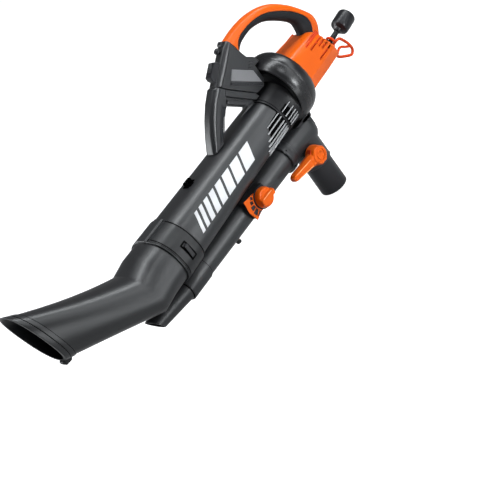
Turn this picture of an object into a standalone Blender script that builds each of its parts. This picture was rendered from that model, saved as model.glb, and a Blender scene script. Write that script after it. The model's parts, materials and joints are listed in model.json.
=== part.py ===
"""Electric leaf blower and vacuum, as a Blender 4.5 model.

The nozzle points towards -X, the operator's left side is -Y and +Z is up. The
origin is the middle of the hand grip. Sizes below are in millimetres, and MM
turns them into Blender's metres when a mesh is made.
"""

import math

import bmesh
import bpy
from mathutils import Matrix, Vector

MM = 0.001

# Fits between pieces
FIT = 0.3
HALF_SPLIT = 0.15

# Rotor axis, shared by fan, motor and bearings
AXIS_Z = -142.0

# Main vacuum tube: an oval that grows towards the nozzle
TUBE_REAR_X = -165.0
TUBE_FRONT_X = -612.0
TUBE_REAR_Z = -162.5
TUBE_FRONT_Z = -179.0
TUBE_REAR_HALF_WIDTH = 60.0
TUBE_FRONT_HALF_WIDTH = 74.0
TUBE_REAR_HALF_HEIGHT = 50.0
TUBE_FRONT_HALF_HEIGHT = 59.5
TUBE_WALL = 2.6
OVAL_POWER = 2.4
OVAL_SPREAD = 0.14

# Collar that joins tube and nozzle
COLLAR_REAR_X = -575.0
COLLAR_FRONT_X = -645.0
COLLAR_WALL = 4.0
COLLAR_RIDGE_WIDTH = 30.0
COLLAR_RIDGE_HEIGHT = 3.0

# Latch button in the collar's left side
LATCH_X = -608.0
LATCH_LENGTH = 10.0
LATCH_HEIGHT = 32.0
LATCH_DEPTH = 8.0
LATCH_PROUD = 3.0
LATCH_TRAVEL = 1.5
LATCH_WINDOW_GROW = 0.2
LATCH_WINDOW_IN = 8.0

# Nozzle after the collar, with its bend, its mouth and the lip round the mouth
NOZZLE_WALL = 2.6
NOZZLE_BEND_X = -735.0
NOZZLE_BEND_Z = -189.0
NOZZLE_MOUTH_X = -992.0
NOZZLE_MOUTH_Z = -60.0
NOZZLE_MOUTH_HALF_WIDTH = 42.0
NOZZLE_MOUTH_HALF_HEIGHT = 85.0
NOZZLE_MOUTH_LEAN = math.radians(-13.0)
NOZZLE_EVEN_LENGTH = 200.0
LIP_LENGTH = 27.0
LIP_WALL = 2.0

# Blower tube under the vacuum tube, with its coupling, tip and lug
BLOW_REAR_X = -205.0
BLOW_FRONT_X = -600.0
BLOW_REAR_RADIUS = 36.0
BLOW_FRONT_RADIUS = 28.5
BLOW_WALL = 2.2
BLOW_TUBE_GAP = 6.5
BLOW_REAR_Z = -262.0
BLOW_FRONT_Z = TUBE_FRONT_Z - TUBE_FRONT_HALF_HEIGHT - BLOW_TUBE_GAP - BLOW_FRONT_RADIUS
COUPLING_REAR_X = -566.0
COUPLING_FRONT_X = -636.0
COUPLING_WALL = 2.2
TIP_STEP_LENGTH = 6.0
TIP_STEP_DEPTH = 2.0
TIP_END_X = -748.0
TIP_END_RISE = 3.5
TIP_END_RADIUS = 24.0
TIP_END_LEAN = math.radians(-32.0)
LUG_X = -450.0
LUG_Y = -8.0
LUG_RADIUS = 7.0
LUG_TAPER = 1.0
LUG_ROOT = 4.0
LUG_DROP = 7.0

# Fan housing
FAN_RADIUS = 90.0
FAN_BELLY = 1.0
FAN_WALL = 4.0
FAN_EYE_RADIUS = 40.0
FAN_AIR_EXIT_Z = -202.0
FAN_FRONT_X = -132.0
FAN_SPLIT_X = -100.0
FAN_REAR_X = -60.0
NECK_FRONT_X = -188.0
NECK_WALL = 4.0

# Impeller and shaft
IMPELLER_RADIUS = 77.0
IMPELLER_FRONT_X = -124.0
IMPELLER_REAR_X = -94.0
IMPELLER_PLATE = 3.0
IMPELLER_HUB_FRONT_RADIUS = 13.0
IMPELLER_HUB_REAR_RADIUS = 16.0
IMPELLER_HUB_SLOPE = 3.0
IMPELLER_BLADES = 8
BLADE_THICKNESS = 3.0
BLADE_FRONT_X = -122.0
BLADE_ROOT_RADIUS = 9.0
BLADE_SHOULDER_RADIUS = 60.0
BLADE_CORNER = 6.0
BLADE_SWEEP = 0.25
BLADE_TIP_INSET = 1.0
SHAFT_RADIUS = 4.0
SHAFT_FRONT_X = -136.0
SHAFT_REAR_X = 50.5
NUT_RADIUS = 8.0
NUT_FRONT_X = -132.0

# Diverter under the fan and the bag outlet
BARREL_Z = -262.0
BARREL_RADIUS = 39.5
BARREL_WALL = 3.0
BARREL_FRONT_X = -222.0
BARREL_REAR_X = -90.0
OUTLET_X = -136.0
OUTLET_RADIUS = 35.0
OUTLET_WALL = 2.6
OUTLET_TOP_Z = -331.0
OUTLET_END_Z = -424.0
STUB_WALL = 3.0
STUB_DEPTH = 14.0
BAG_STUD_RADIUS = 4.0
BAG_STUD_REACH = 7.0
BAG_STUD_Y = -6.0
BAG_STUD_Z = -352.0
DUCT_HALF_WIDTH = 27.0
DUCT_FRONT_X = -122.0
DUCT_REAR_X = -99.0
DUCT_WALL = 3.0
DUCT_STEP = 1.5
BARREL_RIM_HEIGHT = 3.0
BARREL_RIM_LENGTH = 16.0
BARREL_RIM_SLOPE = 4.0
BARREL_DOME = ((24.0, 1.0), (10.0, 0.9), (3.0, 0.7), (0.0, 0.4))

# Diverter flap and its lever
FLAP_X = -163.0
FLAP_Z = -303.5
FLAP_SHAFT_RADIUS = 4.0
FLAP_THICKNESS = 3.0
FLAP_EYE_RADIUS = 6.0
FLAP_EYE_HALF_WIDTH = 16.5
FLAP_ROOM_RADIUS = 7.2
FLAP_BOSS_RADIUS = 10.0

# Flap outline: half width at each distance from its shaft. The root is narrow
# enough to stay in the outlet's bore when the flap stands up.
FLAP_SHAPE = ((3.0, 13.0), (10.0, 13.5), (20.0, 25.5), (40.0, 25.5), (48.0, 20.5), (54.0, 12.5), (57.0, 6.0))
FLAP_SHAFT_END_Y = 38.0
FLAP_BOSS_END_Y = 36.0
LEVER_HUB_RADIUS = 24.0
LEVER_HUB_TAPER = 2.0
LEVER_HUB_BACK_Y = -39.5
LEVER_HUB_FACE_Y = -66.0
LEVER_SOCKET_DEPTH = 18.0
LEVER_ARM_LENGTH = 98.0
LEVER_ARM_ANGLE = math.radians(174.0)
LEVER_ARM_ROOT_WIDTH = 17.0
LEVER_ARM_END_WIDTH = 10.0
LEVER_ARM_TIP_WIDTH = 5.0
LEVER_ARM_TIP_LENGTH = 8.0
LEVER_ARM_BACK_STEP = 6.0
LEVER_ARM_FACE_STEP = 3.0
LEVER_CAP_RADIUS = 12.0
LEVER_CAP_DEPTH = 3.0
LEVER_CAP_SUNK = 0.8

# Speed dial, on a box that sits on the blower tube's side
DIAL_X = -350.0
DIAL_RISE = 4.22
DIAL_RADIUS = 25.0
DIAL_TAPER = 3.0
DIAL_BAR_HALF_WIDTH = 8.0
DIAL_BAR_SHORT = 2.0
DIAL_SHAFT_RADIUS = 3.0
DIAL_SOCKET_END = 6.0
DIAL_BASE_BORE = 4.0
CONTROL_BOX_REACH = (-48.0, 22.0)
CONTROL_BOX_DEPTH = (-22.0, 24.0)
CONTROL_BOX_IN_Y = -18.0
CONTROL_BOX_FACE_Y = -43.0
CONTROL_BOX_EDGE = 4.0
DIAL_BASE_THICKNESS = 3.0
DIAL_BACK_Y = CONTROL_BOX_FACE_Y - DIAL_BASE_THICKNESS - 2.0 * FIT
DIAL_FACE_Y = DIAL_BACK_Y - 14.0
DIAL_BAR_FACE_Y = DIAL_FACE_Y - 8.0
POT_RADIUS = 9.0
POT_DEPTH = 6.0
POT_SUNK = 1.0
SCALE_RING_GAP = 4.0
SCALE_ARC = (120.0, 222.0)
SCALE_ARC_POINTS = 7
SCALE_CORNERS = ((-48.0, 28.0), (-52.0, 0.0), (-44.0, -26.0))
SCALE_THICKNESS = 1.6

# Motor and its cover
MOTOR_COVER_WALL = 3.0
MOTOR_HALF_WIDTH = 50.0
MOTOR_HALF_HEIGHT = 54.0
MOTOR_POWER = 5.0
MOTOR_REAR_X = 66.0
MOTOR_REAR_LEAN = math.radians(-20.0)
MOTOR_COVER_DROP = 5.0
SLOT_LENGTHS = (26.0, 40.0, 18.0, 18.0, 52.0)
SLOT_TOP = 34.0
SLOT_PITCH = 9.5
SLOT_HALF_HEIGHT = 1.6
SLOT_END = 14.0
BRACKET_RADIUS = MOTOR_HALF_WIDTH - MOTOR_COVER_WALL - FIT
BRACKET_CUP_STEP = 5.0
BRACKET_CUP_WALL = 3.7
BRACKET_BORE_RADIUS = 18.0
BRACKET_END_RADIUS = 22.0
STATOR_OUTER_RADIUS = BRACKET_RADIUS - 4.7
STATOR_BORE_RADIUS = STATOR_OUTER_RADIUS - 13.0
AIR_GAP = 1.0
ARMATURE_RADIUS = STATOR_BORE_RADIUS - AIR_GAP
ARMATURE_NECK_RADIUS = 16.0
ARMATURE_SHOULDER_RADIUS = 18.0
ARMATURE_FRONT_X = -46.0
ARMATURE_REAR_X = 12.0
ARMATURE_NECK_LENGTH = 6.0
COMMUTATOR_RADIUS = 12.5
COMMUTATOR_REAR_X = 30.0
FRONT_BRACKET_X = -59.5
STATOR_FRONT_X = -52.0
STATOR_REAR_X = 16.0
REAR_BRACKET_X = 50.0
BRUSH_FRONT_X = 17.0
BRUSH_REAR_X = 26.0
BRUSH_HALF_HEIGHT = 4.0
BRUSH_SHORT = 1.0
BEARING_RADIUS = 13.0
BEARING_FRONT_X = -70.5
BEARING_REAR_X = -61.0
REAR_BEARING_RADIUS = 11.0
REAR_BEARING_FRONT_X = 41.5
REAR_BEARING_REAR_X = 49.5

# Mains cord's moulded neck, its plug and the hook for the extension lead
CORD_EXIT_Z = -177.0
CORD_RADIUS = 6.5
CORD_START_X = 54.0
CORD_END_X = 134.0
CORD_END_RADIUS = 5.0
CORD_TILT = math.radians(6.0)
RELIEF_RIBS = 4
RELIEF_RIB_START = 7.0
RELIEF_RIB_PITCH = 6.0
RELIEF_RIB_LENGTH = 3.0
RELIEF_RIB_RADIUS = 7.2
RELIEF_RIB_TAPER = 0.25
PLUG_RADIUS = 23.0
PLUG_END_X = 191.0
PLUG_SHOULDERS = ((FIT, 15.0), (10.0, 10.0), (17.0, 2.0), (22.0, 0.0))
PLUG_EDGE_LENGTH = 6.0
PLUG_EDGE_DEPTH = 2.5
PLUG_RIM = 5.0
PLUG_WELL_DEPTH = 20.0
BLADE_SPACING = 6.3
BLADE_HALF_THICKNESS = 0.8
BLADE_HALF_HEIGHT = 3.2
BLADE_ROOT_DEPTH = 32.0
BLADE_END_DEPTH = 2.0
HOOK_X = 104.0
HOOK_BAR_RADIUS = 2.4
HOOK_CROSS_BAR_RADIUS = 2.0
HOOK_ROOT_DROP = 9.0
HOOK_ARM = (
    (135.0, -11.0, -213.0),
    (136.0, -11.0, -227.0),
    (125.0, -11.0, -235.0),
    (90.0, -8.0, -212.0),
    (89.0, -6.0, -196.0),
)
HOOK_CROSS_BAR = ((90.5, -8.0, -206.0), (112.0, -9.0, -200.0), (134.0, -11.0, -216.0))

# Handle loop: (outer, inner) points in the XZ plane, from front to rear
GRIP_HALF_WIDTH = 18.0
GRIP_POWER = 2.6
GRIP_SEAM = 0.05
GRIP_DEPTH = 34.0
HANDLE_PAIRS = (
    ((-153.0, 43.0), (-142.0, -3.0)),
    ((-115.0, 46.5), (-122.0, 9.5)),
    ((-76.0, 45.5), (-86.0, 13.5)),
    ((-39.0, 39.0), (-58.0, 9.0)),
    ((-7.0, 27.5), (-32.0, -1.0)),
    ((22.0, 9.5), (-6.0, -18.5)),
    ((56.0, -23.5), (22.0, -43.5)),
    ((84.0, -62.0), (38.0, -64.0)),
    ((97.5, -88.0), (38.0, -82.0)),
    ((95.0, -112.0), (34.0, -96.0)),
    ((80.0, -134.0), (24.0, -110.0)),
)

# Black front housing: (x, z, dx, dz), where dx and dz narrow its front edge.
# Its rear side lies on the fan case, which front_housing_outline adds.
HOUSING_HALF_WIDTH = 18.0
NOSE_HALF_WIDTH = 7.0
HOUSING_FRONT = (
    (-153.6, 43.5, 1.4, -8.0),
    (-170.0, 38.5, 7.0, -11.0),
    (-195.0, 24.0, 9.0, -12.0),
    (-225.0, 7.0, 10.0, -12.0),
    (-253.0, -9.0, 12.0, -10.0),
    (-236.5, -30.0, 0.0, 0.0),
    (-172.0, -98.0, 0.0, 0.0),
    (-146.0, -100.0, 0.0, 0.0),
)
HOUSING_BACK = ((-122.0, -32.0, 0.0, 0.0), (-138.0, -18.0, 0.0, 0.0), (-142.6, -3.4, 0.0, 0.0))
HOUSING_CHIN_Z = -88.0
HOUSING_OVERHANG_X = -114.0
HOUSING_CASE_GAP = 1.6

# Strut from the front housing down to the tube, and its bridge to the neck
STRUT_FRONT = (
    (-262.0, -9.0, 12.0, -10.0),
    (-290.0, -28.0, 9.0, -10.0),
    (-317.0, -52.0, 9.0, -9.0),
    (-343.0, -80.0, 10.0, -8.0),
)
STRUT_FOOT_X = -345.0
STRUT_FOOT_TOE_X = -366.0
STRUT_FOOT_HEEL_X = -332.0
STRUT_FOOT_CLEAR = 0.6
STRUT_BACK = ((-312.0, -95.0, 0.0, 0.0), (-288.0, -73.0, 0.0, 0.0), (-264.0, -60.0, 0.0, 0.0))
BRIDGE_REAR = ((-172.4, -98.4, 0.0, 0.0), (-236.9, -30.4, 0.0, 0.0), (-253.3, -9.4, 6.0, -10.0))
BRIDGE_FRONT_X = -212.0
BRIDGE_RISE = 3.0
BRIDGE_REAR_X = -171.6
BRIDGE_CLEAR = 0.6
SIDE_PANEL = ((-203.0, -12.0), (-163.0, -46.0), (-170.0, -76.0), (-226.0, -30.0))
SIDE_PANEL_HEIGHT = 1.9
SIDE_PANEL_BEVEL = 0.8

# Where the switch sits on the front edge, and the edge's own directions
EDGE_START = Vector((-196.5, 23.6))
EDGE_END = Vector((-251.5, -8.4))
EDGE_ALONG = (EDGE_END - EDGE_START).normalized()
EDGE_OUT = Vector((EDGE_ALONG.y, -EDGE_ALONG.x))
SWITCH_START = 8.0
SWITCH_END = 54.0
SWITCH_HALF_WIDTH = 10.0
SWITCH_HEIGHT = 17.0
SWITCH_SHOULDER = 9.0
SWITCH_CORNER = 5.0
SWITCH_SINK = 5.0
SWITCH_EDGE = 1.2
SWITCH_ROOM_TOP = 40.0
ROCKER_HALF_WIDTH = 6.0
ROCKER_PIVOT = (25.0, 12.5)
ROCKER_PIN_RADIUS = 1.2
ROCKER_PIN_SHORT = 1.0
ROCKER_TILT = math.radians(-6.0)
ROCKER_RECESS_HALF_LENGTH = 12.4
ROCKER_RECESS_DEPTH = 5.0
ROCKER_SHAPE = ((-11.0, 6.0), (0.0, 4.0), (11.0, 6.0), (9.5, 0.0), (3.0, -3.0), (-3.0, -3.0), (-9.5, 0.0))

# Strap stud on the front edge and eyelet on the tube
STUD_ALONG = -18.0
STUD_ROOT = -4.0
STUD_TOP = 11.0
STUD_NECK_TOP = 5.0
STUD_STEM_RADIUS = 4.0
STUD_HEAD_RADIUS = 7.5
STUD_HEAD_TAPER = 1.0
EYELET_X = -458.0
EYELET_HALF_LENGTH = 11.0
EYELET_HALF_WIDTH = 5.0
EYELET_HEIGHT = 11.0
EYELET_ROOT = 6.0
EYELET_HOLE_RADIUS = 3.4
EYELET_HOLE_RISE = 5.0

# Intake louvres: which points of the tube's section they follow, left side
LOUVRE_POINTS = range(11, 18)
LOUVRE_THICKNESS = 3.5
LOUVRE_REAR_X = NECK_FRONT_X - 2.0 * FIT
LOUVRE_FRONT_X = -275.0
LOUVRE_SLOTS = 5
LOUVRE_TOP_Z = -147.0
LOUVRE_PITCH = 10.5
LOUVRE_HALF_HEIGHT = 2.2
LOUVRE_END = 8.0
LOUVRE_LENGTH = 74.0
LOUVRE_SHORTER = 6.0

# Screws through handle and front housing, as (x, z)
SCREW_RADIUS = 2.0
SCREW_HEAD_RADIUS = 4.0
SCREW_HEAD_HEIGHT = 2.6
SCREW_LENGTH = 24.0
SCREW_DRAFT = 0.8
SCREW_RECESS_LONG = 2.2
SCREW_RECESS_SHORT = 0.5
SCREW_RECESS_DEPTH = 1.2
HANDLE_SCREWS = ((-128.0, 34.0), (67.0, -58.0))
HANDLE_SCREW_HEAD_Y = -12.5
HOUSING_SCREWS = ((-224.0, -8.0), (-148.0, -88.0))
HOUSING_SCREW_HEAD_Y = -15.5

# Points round each kind of section, and how far a cutter runs past what it cuts
RING_POINTS = 24
ROUND_POINTS = 20
FAN_POINTS = 32
MOTOR_POINTS = 28
WHEEL_POINTS = 24
SMALL_POINTS = 16
PIN_POINTS = 12
PAST = 1.0
FAR = 500.0


def make_material(name, colour, roughness, metallic=0.0):
    material = bpy.data.materials.new(name)
    material.use_nodes = True
    shader = material.node_tree.nodes["Principled BSDF"]
    shader.inputs["Base Color"].default_value = (*colour, 1.0)
    shader.inputs["Roughness"].default_value = roughness
    shader.inputs["Metallic"].default_value = metallic
    return material


def make_object(name, vertices, faces, material, pivot=(0.0, 0.0, 0.0)):
    """A mesh object from points in millimetres, with its origin at pivot."""
    mesh = bpy.data.meshes.new(name)
    shape = bmesh.new()
    base = Vector(pivot)
    points = [shape.verts.new((Vector(v) - base) * MM) for v in vertices]
    for face in faces:
        shape.faces.new([points[i] for i in face])
    bmesh.ops.recalc_face_normals(shape, faces=shape.faces[:])
    shape.to_mesh(mesh)
    shape.free()
    mesh.shade_smooth()
    mesh.set_sharp_from_angle(angle=math.radians(35.0))
    thing = bpy.data.objects.new(name, mesh)
    thing.location = base * MM
    bpy.context.scene.collection.objects.link(thing)
    if material is not None:
        mesh.materials.append(material)
    return thing


def loft_faces(rings, closed_start=True, closed_end=True):
    """Faces through rings of equally many points, numbered ring after ring."""
    count = len(rings[0])
    faces = []
    for row in range(len(rings) - 1):
        for i in range(count):
            j = (i + 1) % count
            a = row * count
            b = a + count
            faces.append((a + i, a + j, b + j, b + i))
    if closed_start:
        faces.append(tuple(range(count)))
    if closed_end:
        last = (len(rings) - 1) * count
        faces.append(tuple(range(last, last + count)))
    return faces


def loft(name, rings, material, pivot=(0.0, 0.0, 0.0)):
    """A closed solid through rings."""
    vertices = [point for ring in rings for point in ring]
    return make_object(name, vertices, loft_faces(rings), material, pivot)


def loop(name, rings, material, pivot=(0.0, 0.0, 0.0)):
    """A closed solid through rings that come back to the first."""
    vertices = [point for ring in rings for point in ring]
    faces = loft_faces(rings, False, False)
    count = len(rings[0])
    last = (len(rings) - 1) * count
    for i in range(count):
        j = (i + 1) % count
        faces.append((last + i, last + j, j, i))
    return make_object(name, vertices, faces, material, pivot)


def pipe(name, outer, inner, material, pivot=(0.0, 0.0, 0.0)):
    """A walled tube: outer and inner rings, joined by a flat annulus at each end."""
    return loop(name, outer + list(reversed(inner)), material, pivot)


def circle(radius, count=ROUND_POINTS):
    angles = [2.0 * math.pi * (i + 0.5) / count for i in range(count)]
    return [(radius * math.cos(a), radius * math.sin(a)) for a in angles]


def oval_ring(x, z, half_width, half_height, power=OVAL_POWER, spread=0.0, lean=0.0, count=RING_POINTS):
    """A superellipse round (x, z), in the YZ plane or leaning forward at its top."""
    ring = []
    for i in range(count):
        angle = 2.0 * math.pi * (i + 0.5) / count
        c = math.cos(angle)
        s = math.sin(angle)
        y = half_width * math.copysign(abs(c) ** (2.0 / power), c)
        up = half_height * math.copysign(abs(s) ** (2.0 / power), s)
        y *= 1.0 - spread * up / half_height
        ring.append((x + up * math.sin(lean), y, z + up * math.cos(lean)))
    return ring


def round_ring(x, z, radius, lean=0.0, count=ROUND_POINTS):
    return oval_ring(x, z, radius, radius, 2.0, 0.0, lean, count)


def share(start, end, t):
    return start + (end - start) * t


def tube_station(x):
    """Middle height, half width and half height of the vacuum tube's outside at x."""
    t = (x - TUBE_REAR_X) / (TUBE_FRONT_X - TUBE_REAR_X)
    return (
        share(TUBE_REAR_Z, TUBE_FRONT_Z, t),
        share(TUBE_REAR_HALF_WIDTH, TUBE_FRONT_HALF_WIDTH, t),
        share(TUBE_REAR_HALF_HEIGHT, TUBE_FRONT_HALF_HEIGHT, t),
    )


def tube_ring(x, grow=0.0):
    z, half_width, half_height = tube_station(x)
    return oval_ring(x, z, half_width + grow, half_height + grow, OVAL_POWER, OVAL_SPREAD)


def turned(name, profile, material, z=AXIS_Z, count=ROUND_POINTS, pivot=(0.0, 0.0, 0.0)):
    """A solid turned round the X axis at height z, from a closed (x, radius) outline off the axis."""
    rings = [round_ring(x, z, radius, 0.0, count) for x, radius in profile]
    return loop(name, rings, material, pivot)


def turned_y(name, x, z, profile, material, count=ROUND_POINTS, pivot=(0.0, 0.0, 0.0)):
    """A ring turned round an axis along Y through (x, z), from a (y, radius) outline."""
    rings = []
    for y, radius in profile:
        rings.append([(x + a, y, z + b) for a, b in circle(radius, count)])
    return loop(name, rings, material, pivot)


def rod(name, start, end, radius, material, end_radius=None, count=ROUND_POINTS, pivot=(0.0, 0.0, 0.0)):
    """A straight round bar between two points."""
    a = Vector(start)
    b = Vector(end)
    turn = (b - a).normalized().to_track_quat("Z", "Y").to_matrix()
    rings = []
    for middle, size in ((a, radius), (b, end_radius or radius)):
        rings.append([tuple(middle + turn @ Vector((u, v, 0.0))) for u, v in circle(size, count)])
    return loft(name, rings, material, pivot)


def block(name, low, high, material, pivot=(0.0, 0.0, 0.0)):
    x0, y0, z0 = low
    x1, y1, z1 = high
    start = [(x0, y0, z0), (x0, y1, z0), (x0, y1, z1), (x0, y0, z1)]
    end = [(x1, y0, z0), (x1, y1, z0), (x1, y1, z1), (x1, y0, z1)]
    return loft(name, [start, end], material, pivot)


def inset(outline, distance):
    """The outline drawn in by distance, corner by corner, keeping its points."""
    area = 0.0
    count = len(outline)
    for i in range(count):
        x0, z0 = outline[i]
        x1, z1 = outline[(i + 1) % count]
        area += x0 * z1 - x1 * z0
    turn = 1.0 if area > 0.0 else -1.0
    moved = []
    for i in range(count):
        before = Vector(outline[i]) - Vector(outline[i - 1])
        after = Vector(outline[(i + 1) % count]) - Vector(outline[i])
        before.normalize()
        after.normalize()
        normal_a = Vector((-before.y, before.x)) * turn
        normal_b = Vector((-after.y, after.x)) * turn
        middle = normal_a + normal_b
        scale = distance / max(0.35, 1.0 + normal_a.dot(normal_b))
        point = Vector(outline[i]) + middle * scale
        moved.append((point.x, point.y))
    return moved


def plate(name, outline, levels, material, pivot=(0.0, 0.0, 0.0)):
    """A flat piece in the XZ plane: levels gives (y, inset) from one side to the other."""
    rings = []
    for y, distance in levels:
        drawn = inset(outline, distance) if distance else outline
        rings.append([(x, y, z) for x, z in drawn])
    return loft(name, rings, material, pivot)


def nosed_plate(name, outline, levels, material):
    """Like plate, but each outline point is (x, z, dx, dz): dx and dz move it at full share."""
    rings = []
    for y, part in levels:
        rings.append([(x + dx * part, y, z + dz * part) for x, z, dx, dz in outline])
    return loft(name, rings, material)


def as_cutter(thing):
    thing.hide_render = True
    thing.display_type = "WIRE"
    return thing


def boolean(thing, other, operation):
    modifier = thing.modifiers.new(operation.title() + " " + other.name, "BOOLEAN")
    modifier.operation = operation
    modifier.solver = "EXACT"
    modifier.object = as_cutter(other)


def cut(thing, *others):
    for other in others:
        boolean(thing, other, "DIFFERENCE")


def join(thing, *others):
    for other in others:
        boolean(thing, other, "UNION")


def make_vacuum_tube(plastic):
    xs = (TUBE_REAR_X, TUBE_FRONT_X)
    outer = [tube_ring(x) for x in xs]
    inner = [tube_ring(x, -TUBE_WALL) for x in xs]
    pipe("vacuum_tube", outer, inner, plastic)


def make_collar(plastic):
    xs = (COLLAR_REAR_X, COLLAR_FRONT_X)
    outer = [tube_ring(x, COLLAR_WALL + FIT) for x in xs]
    inner = [tube_ring(x, FIT) for x in xs]
    collar = pipe("tube_collar", outer, inner, plastic)
    top = []
    for x in (COLLAR_REAR_X, COLLAR_FRONT_X):
        z, _, half_height = tube_station(x)
        base = z + half_height + FIT + COLLAR_WALL * 0.5
        crest = z + half_height + FIT + COLLAR_WALL + COLLAR_RIDGE_HEIGHT
        half = COLLAR_RIDGE_WIDTH / 2.0
        top.append([(x, -half, base), (x, half, base), (x, half * 0.8, crest), (x, -half * 0.8, crest)])
    join(collar, loft("collar_ridge", top, None))
    _, half_width, _ = tube_station(LATCH_X)
    window = latch_box(LATCH_WINDOW_GROW, -half_width - FAR, -half_width + LATCH_WINDOW_IN)
    cut(collar, block("latch_window", *window, None))


def latch_box(grow, low_y, high_y):
    """The latch button's outline seen from the side, grown all round, between two Y values."""
    z, _, _ = tube_station(LATCH_X)
    length = LATCH_LENGTH / 2.0 + grow
    height = LATCH_HEIGHT / 2.0 + grow
    return (LATCH_X - length, low_y, z - height), (LATCH_X + length, high_y, z + height)


def nozzle_stations():
    """(x, z, half width, half height, lean) from inside the collar to the mouth."""
    stations = []
    for x in (TUBE_FRONT_X - FIT, COLLAR_FRONT_X):
        stations.append((x, *tube_station(x), 0.0))
    bend = (NOZZLE_BEND_X, NOZZLE_BEND_Z, tube_station(NOZZLE_BEND_X)[1], TUBE_FRONT_HALF_HEIGHT, 0.0)
    stations.append(bend)
    mouth = (
        NOZZLE_MOUTH_X,
        NOZZLE_MOUTH_Z,
        NOZZLE_MOUTH_HALF_WIDTH,
        NOZZLE_MOUTH_HALF_HEIGHT,
        NOZZLE_MOUTH_LEAN,
    )
    lip = 1.0 - LIP_LENGTH / (NOZZLE_BEND_X - NOZZLE_MOUTH_X)
    for t in (0.08, 0.2, 0.45, 0.7, lip, 1.0):
        rise = share(t * t, t, 0.86)
        stations.append(
            (
                share(bend[0], mouth[0], t),
                share(bend[1], mouth[1], rise),
                share(bend[2], mouth[2], t),
                share(bend[3], mouth[3], t * t),
                share(0.0, mouth[4], t),
            )
        )
    return stations


def nozzle_ring(station, grow):
    x, z, half_width, half_height, lean = station
    spread = share(OVAL_SPREAD, 0.0, min(1.0, max(0.0, (NOZZLE_BEND_X - x) / NOZZLE_EVEN_LENGTH)))
    return oval_ring(x, z, half_width + grow, half_height + grow, OVAL_POWER, spread, lean)


def make_nozzle(plastic):
    stations = nozzle_stations()
    outer = [nozzle_ring(s, 0.0) for s in stations]
    inner = [nozzle_ring(s, -NOZZLE_WALL) for s in stations]
    pipe("nozzle", outer, inner, plastic)


def make_nozzle_lip(plastic):
    ends = nozzle_stations()[-2:]
    outer = [nozzle_ring(s, LIP_WALL + FIT) for s in ends]
    inner = [nozzle_ring(s, 2.0 * FIT) for s in ends]
    pipe("nozzle_lip", outer, inner, plastic)


def blow_radius(x):
    t = (x - BLOW_REAR_X) / (BLOW_FRONT_X - BLOW_REAR_X)
    return share(BLOW_REAR_RADIUS, BLOW_FRONT_RADIUS, t)


def blow_z(x):
    t = (x - BLOW_REAR_X) / (BLOW_FRONT_X - BLOW_REAR_X)
    return share(BLOW_REAR_Z, BLOW_FRONT_Z, t)


def make_blower_tube(plastic):
    xs = (BLOW_REAR_X, BLOW_FRONT_X)
    outer = [round_ring(x, blow_z(x), blow_radius(x)) for x in xs]
    inner = [round_ring(x, blow_z(x), blow_radius(x) - BLOW_WALL) for x in xs]
    tube = pipe("blower_tube", outer, inner, plastic)
    low = blow_z(LUG_X) - blow_radius(LUG_X)
    root = (LUG_X, LUG_Y, low + LUG_ROOT)
    end = (LUG_X, LUG_Y, low - LUG_DROP)
    join(tube, rod("tube_lug", root, end, LUG_RADIUS, None, LUG_RADIUS - LUG_TAPER, SMALL_POINTS))


def make_blower_coupling(plastic):
    xs = (COUPLING_REAR_X, COUPLING_FRONT_X)
    outer = [round_ring(x, blow_z(x), blow_radius(x) + FIT + COUPLING_WALL) for x in xs]
    inner = [round_ring(x, blow_z(x), blow_radius(x) + FIT) for x in xs]
    pipe("blower_coupling", outer, inner, plastic)


def make_blower_tip(plastic):
    start = BLOW_FRONT_X - FIT
    neck = blow_radius(COUPLING_FRONT_X)
    stations = (
        (start, blow_z(start), blow_radius(start), 0.0),
        (COUPLING_FRONT_X, blow_z(COUPLING_FRONT_X), neck, 0.0),
        (COUPLING_FRONT_X - TIP_STEP_LENGTH, blow_z(COUPLING_FRONT_X), neck - TIP_STEP_DEPTH, 0.0),
        (TIP_END_X, BLOW_FRONT_Z + TIP_END_RISE, TIP_END_RADIUS, TIP_END_LEAN),
    )
    outer = [round_ring(x, z, r, lean) for x, z, r, lean in stations]
    inner = [round_ring(x, z, r - BLOW_WALL, lean) for x, z, r, lean in stations]
    pipe("blower_tip", outer, inner, plastic)


def duct(name, grow, low_z, high_z):
    low = (DUCT_FRONT_X - grow, -DUCT_HALF_WIDTH - grow, low_z)
    high = (DUCT_REAR_X + grow, DUCT_HALF_WIDTH + grow, high_z)
    return block(name, low, high, None)


def make_fan_housing_front(plastic):
    """The fan case's front half, with the neck that takes the vacuum tube."""
    outline = (
        (FAN_FRONT_X, FAN_EYE_RADIUS),
        (FAN_FRONT_X, FAN_RADIUS - 4.0),
        (FAN_FRONT_X + 1.5, FAN_RADIUS),
        (FAN_FRONT_X + 10.0, FAN_RADIUS + FAN_BELLY),
        (FAN_SPLIT_X - HALF_SPLIT, FAN_RADIUS + FAN_BELLY),
        (FAN_SPLIT_X - HALF_SPLIT, FAN_RADIUS - FAN_WALL),
        (FAN_FRONT_X + FAN_WALL, FAN_RADIUS - FAN_WALL),
        (FAN_FRONT_X + FAN_WALL, FAN_EYE_RADIUS),
    )
    case = turned("fan_housing_front", outline, plastic, count=FAN_POINTS)
    neck_xs = (NECK_FRONT_X, FAN_FRONT_X + FAN_WALL)
    neck = loft("neck_outside", [tube_ring(x, FIT + NECK_WALL) for x in neck_xs], None)
    join(case, neck)
    bore_xs = (NECK_FRONT_X - PAST, TUBE_REAR_X + FIT)
    cut(case, loft("neck_bore", [tube_ring(x, FIT) for x in bore_xs], None))
    throat_xs = (NECK_FRONT_X, FAN_FRONT_X + FAN_WALL + PAST)
    cut(case, loft("neck_throat", [tube_ring(x, -TUBE_WALL) for x in throat_xs], None))
    cut(case, duct("front_air_exit", 0.0, BARREL_Z, FAN_AIR_EXIT_Z))


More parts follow.
